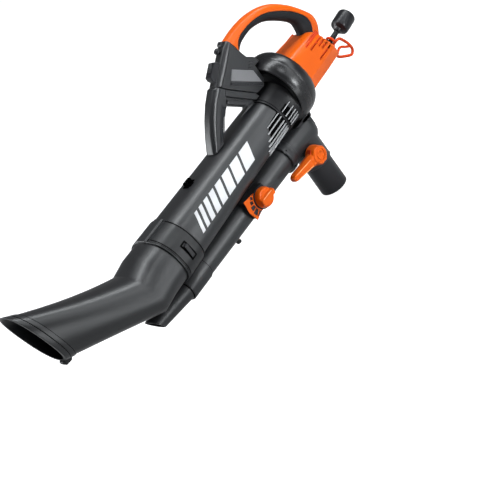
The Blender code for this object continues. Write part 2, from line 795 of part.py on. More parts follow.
def make_fan_housing_rear(plastic):
    outline = (
        (FAN_SPLIT_X + HALF_SPLIT, FAN_RADIUS + FAN_BELLY),
        (FAN_REAR_X - 26.0, FAN_RADIUS + FAN_BELLY),
        (FAN_REAR_X - 15.0, FAN_RADIUS - 3.0),
        (FAN_REAR_X - 6.0, FAN_RADIUS - 13.0),
        (FAN_REAR_X - 1.0, FAN_RADIUS - 28.0),
        (FAN_REAR_X, FAN_RADIUS - 30.0),
        (FAN_REAR_X, BEARING_RADIUS + FIT),
        (FAN_REAR_X - 11.0, BEARING_RADIUS + FIT),
        (FAN_REAR_X - 11.0, BEARING_RADIUS + 5.0),
        (FAN_REAR_X - 6.0, BEARING_RADIUS + 6.0),
        (FAN_REAR_X - 6.0, FAN_RADIUS - 32.0),
        (FAN_REAR_X - 11.0, FAN_RADIUS - 17.0),
        (FAN_REAR_X - 19.0, FAN_RADIUS - 7.0),
        (FAN_REAR_X - 27.0, FAN_RADIUS - FAN_WALL),
        (FAN_SPLIT_X + HALF_SPLIT, FAN_RADIUS - FAN_WALL),
    )
    case = turned("fan_housing_rear", outline, plastic, count=FAN_POINTS)
    cut(case, duct("rear_air_exit", 0.0, BARREL_Z, FAN_AIR_EXIT_Z))


def make_impeller(metal):
    """Back plate, hub and straight blades, on the rotor axis."""
    pivot = (0.0, 0.0, AXIS_Z)
    bore = SHAFT_RADIUS + FIT
    plate_x = IMPELLER_REAR_X - IMPELLER_PLATE
    outline = (
        (IMPELLER_FRONT_X, bore),
        (IMPELLER_FRONT_X, IMPELLER_HUB_FRONT_RADIUS),
        (plate_x - IMPELLER_HUB_SLOPE, IMPELLER_HUB_REAR_RADIUS),
        (plate_x, IMPELLER_RADIUS),
        (IMPELLER_REAR_X, IMPELLER_RADIUS),
        (IMPELLER_REAR_X, bore),
    )
    wheel = turned("impeller", outline, metal, count=WHEEL_POINTS, pivot=pivot)
    root = BLADE_ROOT_RADIUS
    tip = IMPELLER_RADIUS - BLADE_TIP_INSET
    end = IMPELLER_REAR_X - BLADE_TIP_INSET
    shape = (
        (BLADE_FRONT_X, root),
        (BLADE_FRONT_X, BLADE_SHOULDER_RADIUS),
        (BLADE_FRONT_X + BLADE_CORNER, tip),
        (end, tip),
        (end, root),
    )
    for i in range(IMPELLER_BLADES):
        turn = Matrix.Rotation(2.0 * math.pi * i / IMPELLER_BLADES, 4, "X")
        rings = []
        for side in (-BLADE_THICKNESS / 2.0, BLADE_THICKNESS / 2.0):
            ring = []
            for x, r in shape:
                point = turn @ Vector((x, side + BLADE_SWEEP * (r - root), r))
                ring.append((point.x, point.y, point.z + AXIS_Z))
            rings.append(ring)
        join(wheel, loft(f"blade_{i + 1}", rings, None))


def make_rotor(metal, steel, copper):
    pivot = (0.0, 0.0, AXIS_Z)
    make_impeller(metal)
    shaft = ((SHAFT_FRONT_X, 0.0, AXIS_Z), (SHAFT_REAR_X, 0.0, AXIS_Z))
    rod("motor_shaft", *shaft, SHAFT_RADIUS, steel, count=SMALL_POINTS, pivot=pivot)
    bore = SHAFT_RADIUS + FIT
    nut_front = (NUT_FRONT_X, 0.0, AXIS_Z)
    nut_rear = (IMPELLER_FRONT_X - FIT, 0.0, AXIS_Z)
    nut = rod("impeller_nut", nut_front, nut_rear, NUT_RADIUS, steel, count=6, pivot=pivot)
    nut_bore = ((NUT_FRONT_X - PAST, 0.0, AXIS_Z), (IMPELLER_FRONT_X + PAST, 0.0, AXIS_Z))
    cut(nut, rod("nut_bore", *nut_bore, bore, None, count=SMALL_POINTS))
    front = ARMATURE_FRONT_X + ARMATURE_NECK_LENGTH
    rear = ARMATURE_REAR_X - ARMATURE_NECK_LENGTH
    armature = (
        (ARMATURE_FRONT_X, bore),
        (ARMATURE_FRONT_X, ARMATURE_NECK_RADIUS),
        (front, ARMATURE_SHOULDER_RADIUS),
        (front, ARMATURE_RADIUS),
        (rear, ARMATURE_RADIUS),
        (rear, ARMATURE_SHOULDER_RADIUS),
        (ARMATURE_REAR_X, ARMATURE_NECK_RADIUS),
        (ARMATURE_REAR_X, bore),
    )
    turned("armature", armature, copper, count=WHEEL_POINTS, pivot=pivot)
    start = ARMATURE_REAR_X + FIT
    end = COMMUTATOR_REAR_X
    ring = ((start, bore), (start, COMMUTATOR_RADIUS), (end, COMMUTATOR_RADIUS), (end, bore))
    turned("commutator", ring, copper, count=WHEEL_POINTS, pivot=pivot)


def make_bearings(steel):
    bore = SHAFT_RADIUS + FIT
    for name, x0, x1, radius in (
        ("front_bearing", BEARING_FRONT_X, BEARING_REAR_X, BEARING_RADIUS),
        ("rear_bearing", REAR_BEARING_FRONT_X, REAR_BEARING_REAR_X, REAR_BEARING_RADIUS),
    ):
        turned(name, ((x0, bore), (x0, radius), (x1, radius), (x1, bore)), steel, count=WHEEL_POINTS)


def make_motor_frame(steel, metal, carbon):
    """Stator between a front plate and a rear cup that carries brushes and bearing."""
    bore = BRACKET_BORE_RADIUS
    front = (
        (FRONT_BRACKET_X, bore),
        (FRONT_BRACKET_X, BRACKET_RADIUS),
        (STATOR_FRONT_X, BRACKET_RADIUS),
        (STATOR_FRONT_X, bore),
    )
    turned("front_bracket", front, metal, count=WHEEL_POINTS)
    start = STATOR_FRONT_X + FIT
    stator = (
        (start, STATOR_BORE_RADIUS),
        (start, STATOR_OUTER_RADIUS),
        (STATOR_REAR_X, STATOR_OUTER_RADIUS),
        (STATOR_REAR_X, STATOR_BORE_RADIUS),
    )
    turned("stator", stator, steel, count=WHEEL_POINTS)
    seat = REAR_BEARING_RADIUS + FIT
    start = STATOR_REAR_X + FIT
    outside = BRACKET_RADIUS - BRACKET_CUP_STEP
    inside = outside - BRACKET_CUP_WALL
    step = REAR_BRACKET_X - 9.0
    rear = (
        (start, inside),
        (start, outside),
        (REAR_BRACKET_X - 14.0, outside - 2.0),
        (REAR_BRACKET_X, BRACKET_END_RADIUS),
        (REAR_BRACKET_X, seat),
        (step, seat),
        (step, bore),
        (REAR_BRACKET_X - 16.0, inside - 5.0),
        (REAR_BRACKET_X - 22.0, inside),
    )
    turned("rear_bracket", rear, metal, count=WHEEL_POINTS)
    for name, side in (("brush_left", -1.0), ("brush_right", 1.0)):
        near = side * (COMMUTATOR_RADIUS + FIT)
        far = side * (inside - BRUSH_SHORT)
        low = (BRUSH_FRONT_X, min(near, far), AXIS_Z - BRUSH_HALF_HEIGHT)
        high = (BRUSH_REAR_X, max(near, far), AXIS_Z + BRUSH_HALF_HEIGHT)
        block(name, low, high, carbon)


def motor_ring(x, z, half_width, half_height, lean, grow):
    return oval_ring(x, z, half_width + grow, half_height + grow, MOTOR_POWER, 0.0, lean, MOTOR_POINTS)


def motor_stations():
    """(x, z, half width, half height, lean) of the orange motor cover, front to rear."""
    z = AXIS_Z - MOTOR_COVER_DROP
    return (
        (FAN_REAR_X + FIT, z, MOTOR_HALF_WIDTH + 3.0, MOTOR_HALF_HEIGHT + 3.0, 0.0),
        (-30.0, z, MOTOR_HALF_WIDTH, MOTOR_HALF_HEIGHT, math.radians(-5.0)),
        (MOTOR_REAR_X - 8.0, z, MOTOR_HALF_WIDTH - 4.0, MOTOR_HALF_HEIGHT - 2.0, MOTOR_REAR_LEAN),
        (MOTOR_REAR_X, z, MOTOR_HALF_WIDTH - 10.0, MOTOR_HALF_HEIGHT - 8.0, MOTOR_REAR_LEAN),
    )


def half_space(name, side):
    """A block that holds everything on one side of the middle plane."""
    near = side * HALF_SPLIT
    far = side * FAR
    return block(name, (-FAR, min(near, far), -FAR), (FAR, max(near, far), FAR), None)


def make_motor_cover(name, side, plastic):
    outer = [motor_ring(*s, 0.0) for s in motor_stations()]
    inner = [motor_ring(*s, -MOTOR_COVER_WALL) for s in motor_stations()]
    front = [(x - PAST, y, z) for x, y, z in inner[0]]
    back = [(x - MOTOR_COVER_WALL, y, z) for x, y, z in inner[-1]]
    cover = loft(name, outer, plastic)
    cut(cover, loft(f"{name}_hollow", [front, *inner[:-1], back], None))
    for i, length in enumerate(SLOT_LENGTHS):
        z = AXIS_Z + SLOT_TOP - SLOT_PITCH * i
        face = side * (MOTOR_HALF_WIDTH - 16.0)
        far = side * FAR
        rear = MOTOR_REAR_X + (z - AXIS_Z) * math.tan(MOTOR_REAR_LEAN) - SLOT_END
        low = (rear - length, min(face, far), z - SLOT_HALF_HEIGHT)
        high = (rear, max(face, far), z + SLOT_HALF_HEIGHT)
        cut(cover, block(f"{name}_slot_{i + 1}", low, high, None))
    hole = (cord_point(CORD_START_X - PAST), cord_point(CORD_END_X))
    cut(cover, rod(f"{name}_cord_hole", *hole, CORD_RADIUS + FIT, None, count=SMALL_POINTS))
    boolean(cover, half_space(f"{name}_half", side), "INTERSECT")


def cover_space(name):
    """The room the motor cover takes, with its clearance."""
    return loft(name, [motor_ring(*s, FIT) for s in motor_stations()], None)


def screw_sizes(head_y):
    return head_y + SCREW_HEAD_HEIGHT, head_y + SCREW_LENGTH


def cut_screw_hole(thing, name, side, x, z, head_y):
    """The counterbore on the left half, or the pilot hole on the right half."""
    shoulder, end = screw_sizes(head_y)
    if side < 0.0:
        room = ((x, head_y - GRIP_HALF_WIDTH, z), (x, shoulder + FIT, z))
        cut(thing, rod(f"{name}_head", *room, SCREW_HEAD_RADIUS + FIT, None, count=SMALL_POINTS))
    bore = ((x, shoulder - PAST, z), (x, end + PAST, z))
    cut(thing, rod(f"{name}_bore", *bore, SCREW_RADIUS + FIT, None, count=PIN_POINTS))


def make_screw(name, x, z, head_y, steel):
    """A pan head screw along Y, with a cross recess."""
    shoulder, end = screw_sizes(head_y)
    face_radius = SCREW_HEAD_RADIUS - SCREW_DRAFT
    screw = rod(name, (x, shoulder, z), (x, head_y, z), SCREW_HEAD_RADIUS, steel, face_radius, SMALL_POINTS)
    shank = ((x, head_y + PAST, z), (x, end, z))
    join(screw, rod(f"{name}_shank", *shank, SCREW_RADIUS, None, count=PIN_POINTS))
    for tag, wide, tall in (
        ("slot", SCREW_RECESS_LONG, SCREW_RECESS_SHORT),
        ("cross", SCREW_RECESS_SHORT, SCREW_RECESS_LONG),
    ):
        low = (x - wide, head_y - PAST, z - tall)
        high = (x + wide, head_y + SCREW_RECESS_DEPTH, z + tall)
        cut(screw, block(f"{name}_{tag}", low, high, None))


def handle_section(pair, low, high, side, count=6):
    """Part of the handle's section: shares low..high of its depth, on one side or both."""
    outer = Vector(pair[0])
    inner = Vector(pair[1])
    middle = (outer + inner) / 2.0
    half = (outer - inner) / 2.0
    points = []
    for i in range(count + 1):
        q = share(high, low, i / count)
        width = GRIP_HALF_WIDTH * (1.0 - abs(q) ** GRIP_POWER) ** (1.0 / GRIP_POWER)
        place = middle + half * q
        points.append((place, width))
    ring = []
    if side == 0:
        for place, width in points:
            ring.append((place.x, width, place.y))
        for place, width in reversed(points):
            if width > 0.05:
                ring.append((place.x, -width, place.y))
        return ring
    for place, width in points:
        ring.append((place.x, side * max(width, HALF_SPLIT + 0.35), place.y))
    for q in (low, high):
        place = middle + half * q
        ring.append((place.x, side * HALF_SPLIT, place.y))
    return ring


def make_handle(orange, rubber):
    for name, side in (("handle_shell_left", -1.0), ("handle_shell_right", 1.0)):
        shell = loft(name, [handle_section(p, GRIP_SEAM, 0.995, side) for p in HANDLE_PAIRS], orange)
        cut(shell, cover_space(f"{name}_foot"))
        for i, (x, z) in enumerate(HANDLE_SCREWS):
            cut_screw_hole(shell, f"{name}_hole_{i + 1}", side, x, z, HANDLE_SCREW_HEAD_Y)
    gap = 2.0 * FIT / GRIP_DEPTH
    insert = loft("grip_insert", [handle_section(p, -1.0, GRIP_SEAM - gap, 0) for p in HANDLE_PAIRS], rubber)
    cut(insert, cover_space("grip_foot"))


def front_housing_outline():
    """(x, z, dx, dz) round the black front housing: its rear lies on the fan case."""
    front = FAN_FRONT_X - FIT
    top = AXIS_Z + FAN_RADIUS + HOUSING_CASE_GAP
    case = ((front, HOUSING_CHIN_Z, 0.0, 0.0), (front, top, 0.0, 0.0), (HOUSING_OVERHANG_X, top, 0.0, 0.0))
    return HOUSING_FRONT + case + HOUSING_BACK


def nose_levels(side):
    width = HOUSING_HALF_WIDTH
    return [
        (side * HALF_SPLIT, 0.0),
        (side * NOSE_HALF_WIDTH, 0.0),
        (side * (NOSE_HALF_WIDTH + 3.0), 0.25),
        (side * (width - 2.0), 0.8),
        (side * width, 1.0),
    ]


def make_front_housing(plastic):
    for name, side in (("front_housing_left", -1.0), ("front_housing_right", 1.0)):
        housing = nosed_plate(name, front_housing_outline(), nose_levels(side), plastic)
        for i, (x, z) in enumerate(HOUSING_SCREWS):
            cut_screw_hole(housing, f"{name}_hole_{i + 1}", side, x, z, HOUSING_SCREW_HEAD_Y)
        cut(housing, switch_space(f"{name}_switch_room"), stud_space(f"{name}_stud_room"))


def edge_point(along, out):
    point = EDGE_START + EDGE_ALONG * along + EDGE_OUT * out
    return (point.x, point.y)


def switch_space(name):
    outline = [
        edge_point(SWITCH_START - FIT, -SWITCH_SINK - FIT),
        edge_point(SWITCH_END + FIT, -SWITCH_SINK - FIT),
        edge_point(SWITCH_END + FIT, SWITCH_ROOM_TOP),
        edge_point(SWITCH_START - FIT, SWITCH_ROOM_TOP),
    ]
    width = SWITCH_HALF_WIDTH + FIT
    return plate(name, outline, [(-width, 0.0), (width, 0.0)], None)


def make_switch(plastic, accent, steel):
    """Switch housing on the handle's front edge, with its rocker on a pin."""
    outline = [
        edge_point(SWITCH_START, -SWITCH_SINK),
        edge_point(SWITCH_END, -SWITCH_SINK),
        edge_point(SWITCH_END, SWITCH_SHOULDER),
        edge_point(SWITCH_END - SWITCH_CORNER, SWITCH_HEIGHT),
        edge_point(SWITCH_START + SWITCH_CORNER, SWITCH_HEIGHT),
        edge_point(SWITCH_START, SWITCH_SHOULDER),
    ]
    width = SWITCH_HALF_WIDTH
    flat = width - SWITCH_EDGE
    levels = [(-width, SWITCH_EDGE), (-flat, 0.0), (flat, 0.0), (width, SWITCH_EDGE)]
    body = plate("switch_housing", outline, levels, plastic)
    along, out = ROCKER_PIVOT
    reach = ROCKER_RECESS_HALF_LENGTH
    floor = out - ROCKER_RECESS_DEPTH
    recess = [
        edge_point(along - reach, floor),
        edge_point(along + reach, floor),
        edge_point(along + reach, SWITCH_ROOM_TOP),
        edge_point(along - reach, SWITCH_ROOM_TOP),
    ]
    room = ROCKER_HALF_WIDTH + FIT
    cut(body, plate("rocker_recess", recess, [(-room, 0.0), (room, 0.0)], None))
    x, z = edge_point(*ROCKER_PIVOT)
    hole = width - ROCKER_PIN_SHORT
    pin = hole - FIT
    cut(body, rod("pin_hole", (x, -hole, z), (x, hole, z), ROCKER_PIN_RADIUS + FIT, None, count=PIN_POINTS))
    rod("rocker_pin", (x, -pin, z), (x, pin, z), ROCKER_PIN_RADIUS, steel, count=PIN_POINTS)
    c = math.cos(ROCKER_TILT)
    s = math.sin(ROCKER_TILT)
    shape = [edge_point(along + a * c - b * s, out + a * s + b * c) for a, b in ROCKER_SHAPE]
    half = ROCKER_HALF_WIDTH
    rocker = plate("power_rocker", shape, [(-half, 0.0), (half, 0.0)], accent, (x, 0.0, z))
    bore = ((x, -half - PAST, z), (x, half + PAST, z))
    cut(rocker, rod("rocker_bore", *bore, ROCKER_PIN_RADIUS + FIT, None, count=PIN_POINTS))


def make_strap_points(plastic):
    """A round stud at the top of the front edge, and a small eyelet on the tube."""
    base = stud_point(STUD_ROOT)
    top = stud_point(STUD_TOP)
    stem = rod("strap_stud", base, top, STUD_STEM_RADIUS, plastic, count=SMALL_POINTS)
    head_radius = STUD_HEAD_RADIUS - STUD_HEAD_TAPER
    join(stem, rod("stud_head", stud_point(STUD_NECK_TOP), top, STUD_HEAD_RADIUS, None, head_radius))
    x = EYELET_X
    z, _, half_height = tube_station(x)
    seat = z + half_height
    wide = EYELET_HALF_WIDTH
    low = (x - EYELET_HALF_LENGTH, -wide, seat - EYELET_ROOT)
    high = (x + EYELET_HALF_LENGTH, wide, seat + EYELET_HEIGHT)
    eyelet = block("strap_eyelet", low, high, plastic)
    height = seat + EYELET_HOLE_RISE
    hole = ((x, -wide - PAST, height), (x, wide + PAST, height))
    cut(eyelet, rod("eyelet_hole", *hole, EYELET_HOLE_RADIUS, None, count=PIN_POINTS))
    xs = (low[0] - PAST, high[0] + PAST)
    cut(eyelet, loft("eyelet_seat", [tube_ring(v, FIT) for v in xs], None))


def stud_point(out):
    x, z = edge_point(STUD_ALONG, out)
    return (x, 0.0, z)


def stud_space(name):
    ends = (stud_point(STUD_ROOT - FIT), stud_point(STUD_TOP + PAST))
    return rod(name, *ends, STUD_STEM_RADIUS + FIT, None, count=SMALL_POINTS)


def bracket_outline():
    """(x, z, dx, dz) round the strut and the bridge back to the tube's neck."""
    foot = tube_station(STRUT_FOOT_X)
    foot_z = foot[0] + foot[2] + FIT + STRUT_FOOT_CLEAR
    neck = tube_station(NECK_FRONT_X)
    neck_z = neck[0] + neck[2] + FIT + NECK_WALL + BRIDGE_CLEAR
    sole = (
        (STRUT_FOOT_TOE_X + 2.0, foot_z + 5.4, 9.0, -3.0),
        (STRUT_FOOT_TOE_X, foot_z, 8.0, 0.0),
        (STRUT_FOOT_HEEL_X, foot_z, 0.0, 0.0),
    )
    bridge = (
        (BRIDGE_FRONT_X, neck_z + BRIDGE_RISE, 0.0, 0.0),
        (NECK_FRONT_X, neck_z, 0.0, 0.0),
        (BRIDGE_REAR_X, neck_z, 0.0, 0.0),
    )
    return STRUT_FRONT + sole + STRUT_BACK + bridge + BRIDGE_REAR


def make_bracket(plastic):
    left = nose_levels(-1.0)[1:]
    right = nose_levels(1.0)[1:]
    nosed_plate("handle_bracket", bracket_outline(), list(reversed(left)) + right, plastic)


def make_side_panels(plastic):
    for name, side in (("side_panel_left", -1.0), ("side_panel_right", 1.0)):
        near = side * (HOUSING_HALF_WIDTH + FIT)
        far = side * (HOUSING_HALF_WIDTH + FIT + SIDE_PANEL_HEIGHT)
        plate(name, SIDE_PANEL, [(near, 0.0), (far, SIDE_PANEL_BEVEL)], plastic)


def make_diverter(plastic):
    """Barrel under the fan, stub for the bag outlet and duct from the fan."""
    radius = BARREL_RADIUS
    rim = radius + BARREL_RIM_HEIGHT
    rim_end = BARREL_FRONT_X + BARREL_RIM_LENGTH
    body_start = rim_end + BARREL_RIM_SLOPE
    rings = [
        round_ring(BARREL_FRONT_X, BARREL_Z, rim),
        round_ring(rim_end, BARREL_Z, rim),
        round_ring(body_start, BARREL_Z, radius),
    ]
    rings += [round_ring(BARREL_REAR_X - back, BARREL_Z, radius * part) for back, part in BARREL_DOME]
    body = loft("diverter_housing", rings, plastic)
    axis_top = (OUTLET_X, 0.0, BARREL_Z)
    stub_end = OUTLET_TOP_Z - STUB_DEPTH
    join(body, rod("outlet_stub", axis_top, (OUTLET_X, 0.0, stub_end), OUTLET_RADIUS + FIT + STUB_WALL, None))
    join(body, duct("fan_duct", DUCT_WALL, BARREL_Z, AXIS_Z - FAN_RADIUS + 2.0))
    inside = FAN_RADIUS / 2.0
    outside = FAN_RADIUS + FAN_BELLY + FIT
    xs = (FAN_FRONT_X - BARREL_RADIUS, FAN_REAR_X + BARREL_RADIUS)
    seat = ((xs[0], inside), (xs[0], outside), (xs[1], outside), (xs[1], inside))
    cut(body, turned("fan_seat", seat, None, count=FAN_POINTS))
    boss = ((FLAP_X, LEVER_HUB_BACK_Y + FIT, FLAP_Z), (FLAP_X, FLAP_BOSS_END_Y, FLAP_Z))
    join(body, rod("shaft_boss", *boss, FLAP_BOSS_RADIUS, None))
    wall = BARREL_WALL
    mouth = BARREL_FRONT_X - PAST
    hollow = [
        round_ring(mouth, blow_z(mouth), blow_radius(mouth) + FIT),
        round_ring(BLOW_REAR_X + FIT, BLOW_REAR_Z, BLOW_REAR_RADIUS + FIT),
        round_ring(body_start, BARREL_Z, radius - wall),
        round_ring(BARREL_REAR_X - 24.0, BARREL_Z, radius - wall),
        round_ring(BARREL_REAR_X - 11.0, BARREL_Z, radius * 0.9 - wall),
        round_ring(BARREL_REAR_X - 3.0 - wall, BARREL_Z, radius * 0.6 - wall),
    ]
    cut(body, loft("barrel_hollow", hollow, None))
    cut(body, rod("outlet_bore", axis_top, (OUTLET_X, 0.0, OUTLET_TOP_Z), OUTLET_RADIUS - OUTLET_WALL, None))
    socket = ((OUTLET_X, 0.0, OUTLET_TOP_Z + FIT), (OUTLET_X, 0.0, stub_end - PAST))
    cut(body, rod("outlet_socket", *socket, OUTLET_RADIUS + FIT, None))
    cut(body, duct("fan_duct_bore", -DUCT_STEP, BARREL_Z, FAN_AIR_EXIT_Z))
    eye = FLAP_EYE_HALF_WIDTH + FIT
    cut(body, rod("flap_room", (FLAP_X, -eye, FLAP_Z), (FLAP_X, eye, FLAP_Z), FLAP_ROOM_RADIUS, None))
    reach = BARREL_RADIUS + FLAP_BOSS_RADIUS
    bore = ((FLAP_X, -reach, FLAP_Z), (FLAP_X, reach, FLAP_Z))
    cut(body, rod("shaft_bore", *bore, FLAP_SHAFT_RADIUS + FIT, None))


def make_outlet(plastic):
    walls = []
    for radius in (OUTLET_RADIUS, OUTLET_RADIUS - OUTLET_WALL):
        wall = []
        for z in (OUTLET_TOP_Z, OUTLET_END_Z):
            wall.append([(OUTLET_X + b, a, z) for a, b in circle(radius)])
        walls.append(wall)
    outlet = pipe("vac_outlet", *walls, plastic)
    face = OUTLET_X + OUTLET_RADIUS
    start = (face - OUTLET_WALL / 2.0, BAG_STUD_Y, BAG_STUD_Z)
    end = (face + BAG_STUD_REACH, BAG_STUD_Y, BAG_STUD_Z)
    join(outlet, rod("bag_stud", start, end, BAG_STUD_RADIUS, None, count=SMALL_POINTS))


def make_mode_selector(orange, steel, plastic):
    """Lever, cap, shaft and flap, which turn together about the flap shaft."""
    pivot = (FLAP_X, 0.0, FLAP_Z)
    radius = FLAP_SHAFT_RADIUS
    back = LEVER_HUB_BACK_Y
    face = LEVER_HUB_FACE_Y
    shaft = ((FLAP_X, back - LEVER_SOCKET_DEPTH, FLAP_Z), (FLAP_X, FLAP_SHAFT_END_Y, FLAP_Z))
    rod("flap_shaft", *shaft, radius, steel, count=SMALL_POINTS, pivot=pivot)
    thick = FLAP_THICKNESS / 2.0
    right = [(FLAP_X + h, w) for h, w in FLAP_SHAPE]
    left = [(x, -w) for x, w in reversed(right)]
    rings = [[(x, y, FLAP_Z + side) for x, y in right + left] for side in (-thick, thick)]
    flap = loft("diverter_flap", rings, plastic, pivot)
    eye = FLAP_EYE_HALF_WIDTH
    ends = ((FLAP_X, -eye, FLAP_Z), (FLAP_X, eye, FLAP_Z))
    join(flap, rod("flap_eye", *ends, FLAP_EYE_RADIUS, None, count=SMALL_POINTS))
    bore = ((FLAP_X, -eye - PAST, FLAP_Z), (FLAP_X, eye + PAST, FLAP_Z))
    cut(flap, rod("flap_eye_bore", *bore, radius + FIT, None, count=SMALL_POINTS))
    face_radius = LEVER_HUB_RADIUS - LEVER_HUB_TAPER
    hub_ends = ((FLAP_X, back, FLAP_Z), (FLAP_X, face, FLAP_Z))
    hub = rod("mode_lever", *hub_ends, LEVER_HUB_RADIUS, orange, face_radius, FAN_POINTS, pivot)
    along = Vector((math.cos(LEVER_ARM_ANGLE), math.sin(LEVER_ARM_ANGLE)))
    across = Vector((-along.y, along.x))
    root = Vector((FLAP_X, FLAP_Z))
    outline = []
    for reach, width in (
        (0.0, LEVER_ARM_ROOT_WIDTH),
        (LEVER_ARM_LENGTH - LEVER_ARM_TIP_LENGTH, LEVER_ARM_END_WIDTH),
        (LEVER_ARM_LENGTH, LEVER_ARM_TIP_WIDTH),
        (LEVER_ARM_LENGTH, -LEVER_ARM_TIP_WIDTH),
        (LEVER_ARM_LENGTH - LEVER_ARM_TIP_LENGTH, -LEVER_ARM_END_WIDTH),
        (0.0, -LEVER_ARM_ROOT_WIDTH),
    ):
        outline.append(tuple(root + along * reach + across * width))
    arm_back = back - LEVER_ARM_BACK_STEP
    arm_face = face + LEVER_ARM_FACE_STEP
    levels = [(arm_back, 1.5), (arm_back - 2.0, 0.0), (arm_face + 3.0, 0.0), (arm_face, 2.0)]
    join(hub, plate("lever_arm", outline, levels, None))
    socket = ((FLAP_X, back + PAST, FLAP_Z), (FLAP_X, back - LEVER_SOCKET_DEPTH - FIT, FLAP_Z))
    cut(hub, rod("lever_socket", *socket, radius + FIT, None, count=SMALL_POINTS))
    floor = face + LEVER_CAP_DEPTH
    recess = ((FLAP_X, floor, FLAP_Z), (FLAP_X, face - PAST, FLAP_Z))
    cut(hub, rod("cap_recess", *recess, LEVER_CAP_RADIUS, None))
    cap = ((FLAP_X, floor - FIT, FLAP_Z), (FLAP_X, face + LEVER_CAP_SUNK, FLAP_Z))
    rod("lever_cap", *cap, LEVER_CAP_RADIUS - FIT, orange, pivot=pivot)


def make_speed_control(orange, plastic, steel):
    """Box on the blower tube with the potentiometer and the dial."""
    x = DIAL_X
    z = dial_z()
    front = CONTROL_BOX_FACE_Y
    low = (x + CONTROL_BOX_REACH[0], front, z + CONTROL_BOX_DEPTH[0])
    high = (x + CONTROL_BOX_REACH[1], CONTROL_BOX_IN_Y, z + CONTROL_BOX_DEPTH[1])
    box = block("control_box", low, high, plastic)
    modifier = box.modifiers.new("Soft edges", "BEVEL")
    modifier.width = CONTROL_BOX_EDGE * MM
    modifier.segments = 2
    seat_xs = (low[0] - CONTROL_BOX_EDGE, high[0] + CONTROL_BOX_EDGE)
    cut(box, loft("tube_seat", [round_ring(v, blow_z(v), blow_radius(v) + FIT) for v in seat_xs], None))
    floor = front + POT_DEPTH
    cut(box, rod("pot_well", (x, floor, z), (x, front - PAST, z), POT_RADIUS, None))
    rod("potentiometer", (x, floor - FIT, z), (x, front + POT_SUNK, z), POT_RADIUS - FIT, steel)
    pivot = (x, 0.0, z)
    end = DIAL_FACE_Y + DIAL_SOCKET_END
    shaft = ((x, front + POT_SUNK - FIT, z), (x, end, z))
    rod("dial_shaft", *shaft, DIAL_SHAFT_RADIUS, steel, count=SMALL_POINTS, pivot=pivot)
    base = (
        (front - FIT, DIAL_BASE_BORE),
        (front - FIT, DIAL_RADIUS + 2.0),
        (DIAL_BACK_Y + FIT, DIAL_RADIUS + 1.0),
        (DIAL_BACK_Y + FIT, DIAL_BASE_BORE),
    )
    turned_y("dial_base", x, z, base, plastic)
    ends = ((x, DIAL_BACK_Y, z), (x, DIAL_FACE_Y, z))
    dial = rod("speed_dial", *ends, DIAL_RADIUS, orange, DIAL_RADIUS - DIAL_TAPER, FAN_POINTS, pivot)
    reach = DIAL_RADIUS - DIAL_BAR_SHORT
    half = DIAL_BAR_HALF_WIDTH
    low = (x - reach, DIAL_BAR_FACE_Y, z - half)
    high = (x + reach, DIAL_BACK_Y - 4.0, z + half)
    join(dial, block("dial_bar", low, high, None))
    socket = ((x, DIAL_BACK_Y + PAST, z), (x, end - FIT, z))
    cut(dial, rod("dial_socket", *socket, DIAL_SHAFT_RADIUS + FIT, None, count=SMALL_POINTS))


def dial_z():
    return blow_z(DIAL_X) + DIAL_RISE


def make_latch_button(plastic):
    z, half_width, _ = tube_station(LATCH_X)
    low, high = latch_box(-FIT, -half_width - COLLAR_WALL - LATCH_PROUD, -half_width + LATCH_DEPTH)
    button = block("latch_button", low, high, plastic, (LATCH_X, 0.0, z))
    seat = [tube_ring(x, FIT + LATCH_TRAVEL) for x in (low[0] - PAST, high[0] + PAST)]
    cut(button, loft("latch_seat", seat, None))


def make_scale_plate(accent):
    """Plate beside the dial, curved round it."""
    z = dial_z()
    ring = DIAL_RADIUS + SCALE_RING_GAP
    arc = []
    for i in range(SCALE_ARC_POINTS):
        angle = math.radians(share(*SCALE_ARC, i / (SCALE_ARC_POINTS - 1)))
        arc.append((DIAL_X + ring * math.cos(angle), z + ring * math.sin(angle)))
    corners = [(DIAL_X + a, z + b) for a, b in SCALE_CORNERS]
    face = CONTROL_BOX_FACE_Y - FIT
    plate("scale_plate", corners + list(reversed(arc)), [(face, 0.0), (face - SCALE_THICKNESS, 0.3)], accent)


def make_louvres(plastic):
    """Slatted intake panels that follow the tube's sides behind the neck."""
    for name, side in (("louvre_panel_left", -1.0), ("louvre_panel_right", 1.0)):
        rings = []
        for x in (LOUVRE_REAR_X, LOUVRE_FRONT_X):
            near = tube_ring(x, FIT)
            far = tube_ring(x, FIT + LOUVRE_THICKNESS)
            ring = [near[i] for i in LOUVRE_POINTS] + [far[i] for i in reversed(LOUVRE_POINTS)]
            rings.append([(px, py * side * -1.0, pz) for px, py, pz in ring])
        panel = loft(name, rings, plastic)
        rear = NECK_FRONT_X - LOUVRE_END
        near_y, far_y = sorted((side * 40.0, side * FAR))
        for i in range(LOUVRE_SLOTS):
            z = LOUVRE_TOP_Z - LOUVRE_PITCH * i
            front = rear - LOUVRE_LENGTH + LOUVRE_SHORTER * i
            low = (front, near_y, z - LOUVRE_HALF_HEIGHT)
            high = (rear, far_y, z + LOUVRE_HALF_HEIGHT)
            cut(panel, block(f"{name}_slot_{i + 1}", low, high, None))


